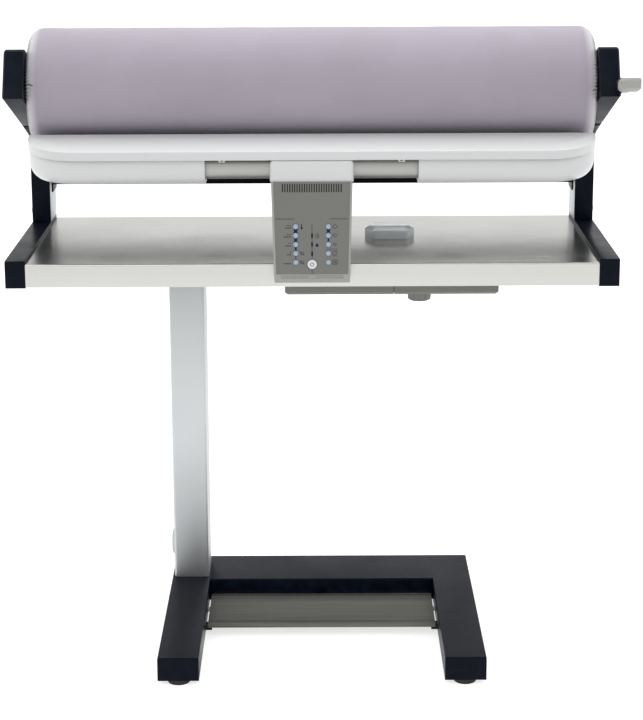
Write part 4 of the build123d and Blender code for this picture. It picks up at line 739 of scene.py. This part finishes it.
# warmth dots left of the keys, over dashes that stand for a label
DOT_X, DOT_PITCH, DOT_LIFT, DOT_RADIUS = -31.6, 2.3, 1.6, 0.75
DASH_X, DASH_PITCH, DASH_DROP, DASH_LONG, DASH_HALF = -31.0, 2.2, 2.0, 1.6, 0.75
for z, dots in zip(KEY_Z, (3, 3, 2, 1)):
    for k in range(dots):
        ink("ink_blue", disc(DOT_X - DOT_PITCH * k, z + DOT_LIFT, DOT_RADIUS, 12))
for z, dashes in zip(KEY_Z, (4, 5, 4, 3, 5)):
    for k in range(dashes):
        x = DASH_X - DASH_PITCH * k
        ink("ink_blue", block(x - DASH_LONG, x, z - DASH_DROP - DASH_HALF, z - DASH_DROP + DASH_HALF))

# thermometer
ink("ink_blue", disc(-15.2, 702.4, 1.7, 18))
ink("ink_grey", block(-15.9, -14.5, 703.5, 708.4))

# crossed flat shapes beside the two lower keys: outline as (x, z from the middle)
FLAT_SHAPE = ((-12.0, -1.4), (-17.6, -1.4), (-16.0, 1.8), (-12.6, 1.8))
for z in (664.6, 651.1):
    ink("ink_grey", stroke((-18.6, z + 3.0), (-11.6, z - 3.2), 0.8))
    for a, b in zip(FLAT_SHAPE, FLAT_SHAPE[1:] + FLAT_SHAPE[:1]):
        ink("ink_grey", stroke((a[0], z + a[1]), (b[0], z + b[1]), 0.7))

# damp marks right of the level column: three wavy rows of dots over a drop
for column in range(3):
    for row in range(4):
        wave = 0.5 if row % 2 else -0.5
        ink("ink_blue", disc(5.2 + 2.2 * column + wave, 687.6 + 2.0 * row, 0.7, 10))


def drop_outline(x, z, radius, height):
    """Round below and drawn to a point above."""
    outline = []
    for angle in turns(20):
        rise = math.sin(angle)
        pinch = 1.0 if rise < 0 else 1.0 - 0.75 * rise ** 2
        outline.append((x + radius * math.cos(angle) * pinch, z + (radius if rise < 0 else height) * rise))
    return outline


ink("ink_blue", drop_outline(7.3, 676.4, 2.2, 3.6))

# shrinking lozenges, then two round marks at the right of the keys
LABEL_X = 33.4
LABEL_RING = (4.3, 3.6)
LOZENGE_RISE = 0.82
for z, size in zip(KEY_Z, (4.0, 3.3, 2.7)):
    rise = LOZENGE_RISE * size
    points = [(LABEL_X - size, z), (LABEL_X, z - rise), (LABEL_X + size, z), (LABEL_X, z + rise)]
    for a, b in zip(points, points[1:] + points[:1]):
        ink("ink_grey", stroke(a, b, 0.75))
ink_ring((LABEL_X, KEY_Z[3]), *LABEL_RING, 36, 20, 300)
ink_ring((LABEL_X, KEY_Z[3]), 2.6, 2.0, 30, 200, 300)
ink_ring((LABEL_X, KEY_Z[4]), *LABEL_RING, 36)
CROSS_X, CROSS_Z = 2.6, 2.4
for rise in (-CROSS_Z, CROSS_Z):
    ink("ink_grey", stroke((LABEL_X - CROSS_X, KEY_Z[4] - rise), (LABEL_X + CROSS_X, KEY_Z[4] + rise), 0.8))

for which, bm in PANEL.items():
    new_piece(f"fascia_{which}", bm, which, "shoe", smooth=False)

# switch symbol on the power button, and a small ring on each key
MARK_FRONT = KEY_Y - 0.00006
MARK_BACK = KEY_Y + 0.00010
KEY_MARK = (1.35, 0.85)
mark_bm = bmesh.new()
ring(mark_bm, BUTTON, 3.0, 2.2, MARK_FRONT, MARK_BACK, 32, 120, 300)
prism(mark_bm, block(-0.4, 0.4, BUTTON[1] + 0.6, BUTTON[1] + 3.6), MARK_FRONT, MARK_BACK)
new_piece("power_button_mark", mark_bm, "ink_grey", "power_button", smooth=False)
for side, word in SIDES:
    for row, z in zip(KEY_ROWS, KEY_Z):
        key = f"key_{word}_{row}"
        key_bm = bmesh.new()
        ring(key_bm, (side * KEY_X, z), *KEY_MARK, KEY_Y - 0.00005, MARK_BACK, 24)
        new_piece(f"{key}_mark", key_bm, "ink_white", key, smooth=False)


# ------------------------------------------------------------------ painted shade: dark sheets behind the openings, for the shade inside them
def shade_sheet(name, outline, near, far):
    """Dark sheet behind the fascia, from near to far, that paints the shade inside an opening."""
    bm = bmesh.new()
    prism(bm, outline, FASCIA_Y + near, FASCIA_Y + far)
    new_piece(name, bm, "shade_black", "shoe", smooth=False)


shade_sheet("vent_shade_sheet", block(-46.5, 46.5, 752.5, 770.5), 0.0023, 0.0028)
shade_sheet("strip_shade_sheet", block(-47.5, 47.5, 626.2, 631.8), 0.0011, 0.0015)

# ------------------------------------------------------------------ screws of the side frames, metres
SIDE_SCREWS = (                               # y, z, radius of the head and its height
    (0.160, 0.800, 0.0055, 0.0030), (0.196, 0.775, 0.0055, 0.0030), (0.196, 0.840, 0.0055, 0.0030),
    (0.160, 0.664, 0.0050, 0.0028), (0.198, 0.664, 0.0050, 0.0028),
)
BACK_SCREW_INSETS = (0.032, 0.016)
BACK_SCREW_Z = 0.742
BACK_SCREW = (0.0045, 0.0026)


def screw_head(bm, place, axis, radius, height, socket=0.5):
    """Round head with a hexagonal socket, standing on a face; socket is its share of the radius."""
    axis = Vector(axis)
    across = axis.orthogonal().normalized()
    other = axis.cross(across)

    def circle(size, rise, hexagon=False):
        points = []
        for angle in turns(32):
            reach = size
            if hexagon:
                reach *= math.cos(math.pi / 6) / math.cos((angle % (math.pi / 3)) - math.pi / 6)
            points.append(Vector(place) + axis * rise + across * reach * math.cos(angle)
                          + other * reach * math.sin(angle))
        return points

    add_skin(bm, [
        circle(radius, -0.0002), circle(radius, height * 0.35), circle(radius * 0.93, height * 0.72),
        circle(radius * 0.72, height * 0.96), circle(radius * socket * 1.12, height),
        circle(radius * socket, height * 0.94, True), circle(radius * socket, height * 0.25, True),
    ], capped=True)


screws = bmesh.new()
for side, outer in FRAME_X.items():
    for y, z, radius, height in SIDE_SCREWS:
        screw_head(screws, (outer, y, z), (side, 0, 0), radius, height)
    for inset in BACK_SCREW_INSETS:
        screw_head(screws, (outer - side * inset, FRAME_BACK, BACK_SCREW_Z), (0, 1, 0), *BACK_SCREW)
screw_piece = new_piece("frame_screws", screws, "zinc", "stand")
screw_piece.modifiers.new("crisp_edges", "EDGE_SPLIT").split_angle = math.radians(35)

# ------------------------------------------------------------------ floor
FLOOR_HALF = 40
FLOOR_GLOW = 0.68                             # lifts the floor to white where it is seen, and only there
FLOOR_TONES = (0.81, 0.81, 0.81), (0.83, 0.83, 0.83)

floor_mesh = bpy.data.meshes.new("floor")
floor_corners = [(x * FLOOR_HALF, y * FLOOR_HALF, 0) for x, y in ((-1, -1), (1, -1), (1, 1), (-1, 1))]
floor_mesh.from_pydata(floor_corners, [], [(0, 1, 2, 3)])
floor = bpy.data.objects.new("floor", floor_mesh)
scene.collection.objects.link(floor)

ground = Material("floor_white", (0.82, 0.82, 0.82), 0.0, 0.9)
ground.color(ground.blend(ground.noise(0.8, 2.0), *FLOOR_TONES))
path = ground.add("LightPath").outputs
glowing = ground.add("AddShader")
ground.link(ground.bsdf.outputs[0], glowing.inputs[0])
ground.link(ground.add("Emission", Strength=FLOOR_GLOW).outputs[0], glowing.inputs[1])
choose = ground.add("MixShader")
ground.link(ground.calc("MAXIMUM", path["Is Camera Ray"], path["Is Glossy Ray"]), choose.inputs[0])
ground.link(ground.bsdf.outputs[0], choose.inputs[1])
ground.link(glowing.outputs[0], choose.inputs[2])
ground.link(choose.outputs[0], ground.out.inputs[0])
floor_mesh.materials.append(ground.mat)

# ------------------------------------------------------------------ world: white where seen, soft as light
WORLD_TINT = (0.98, 0.985, 1.0, 1)
WORLD_LOW, WORLD_HIGH = 0.38, 0.85            # strength at the horizon and from WORLD_RISE up
WORLD_RISE = 0.7

world = bpy.data.worlds.new("world")
scene.world = world
world.use_nodes = True
sky = Nodes(world.node_tree)
soft_light = sky.add("Background", Color=WORLD_TINT)
up = sky.split(sky.add("TexCoord").outputs["Generated"])[2]
sky.link(sky.spread(up, WORLD_LOW, WORLD_HIGH, 0.0, WORLD_RISE), soft_light.inputs["Strength"])
white = sky.add("Background", Color=(1, 1, 1, 1), Strength=1.0)
path = sky.add("LightPath").outputs
seen = sky.calc("MAXIMUM", path["Is Camera Ray"], path["Is Glossy Ray"])
choose = sky.add("MixShader")
sky.link(sky.calc("MAXIMUM", seen, path["Is Transmission Ray"]), choose.inputs[0])
sky.link(soft_light.outputs[0], choose.inputs[1])
sky.link(white.outputs[0], choose.inputs[2])
sky.link(choose.outputs[0], sky.add("OutputWorld").inputs[0])


# ------------------------------------------------------------------ lamps
def softbox(name, place, aim, size, power):
    light = bpy.data.lights.new(name, "AREA")
    light.shape = "RECTANGLE"
    light.size, light.size_y = size
    light.energy = power
    obj = bpy.data.objects.new(name, light)
    scene.collection.objects.link(obj)
    obj.location = place
    obj.rotation_mode = "QUATERNION"
    obj.rotation_quaternion = (Vector(aim) - Vector(place)).to_track_quat("-Z", "Y")


softbox("softbox_top", (0.0, 0.7, 3.2), (0.0, 0.0, 0.6), (3.0, 1.6), 30)
softbox("softbox_front", (-0.6, -2.7, 2.9), (0.0, 0.0, 0.6), (2.4, 1.4), 14)
for side, word in SIDES:
    softbox(f"softbox_{word}", (side * 2.6, 0.5, 1.5), (side * 0.3, 0.0, 0.8), (0.9, 1.4), 7.5)
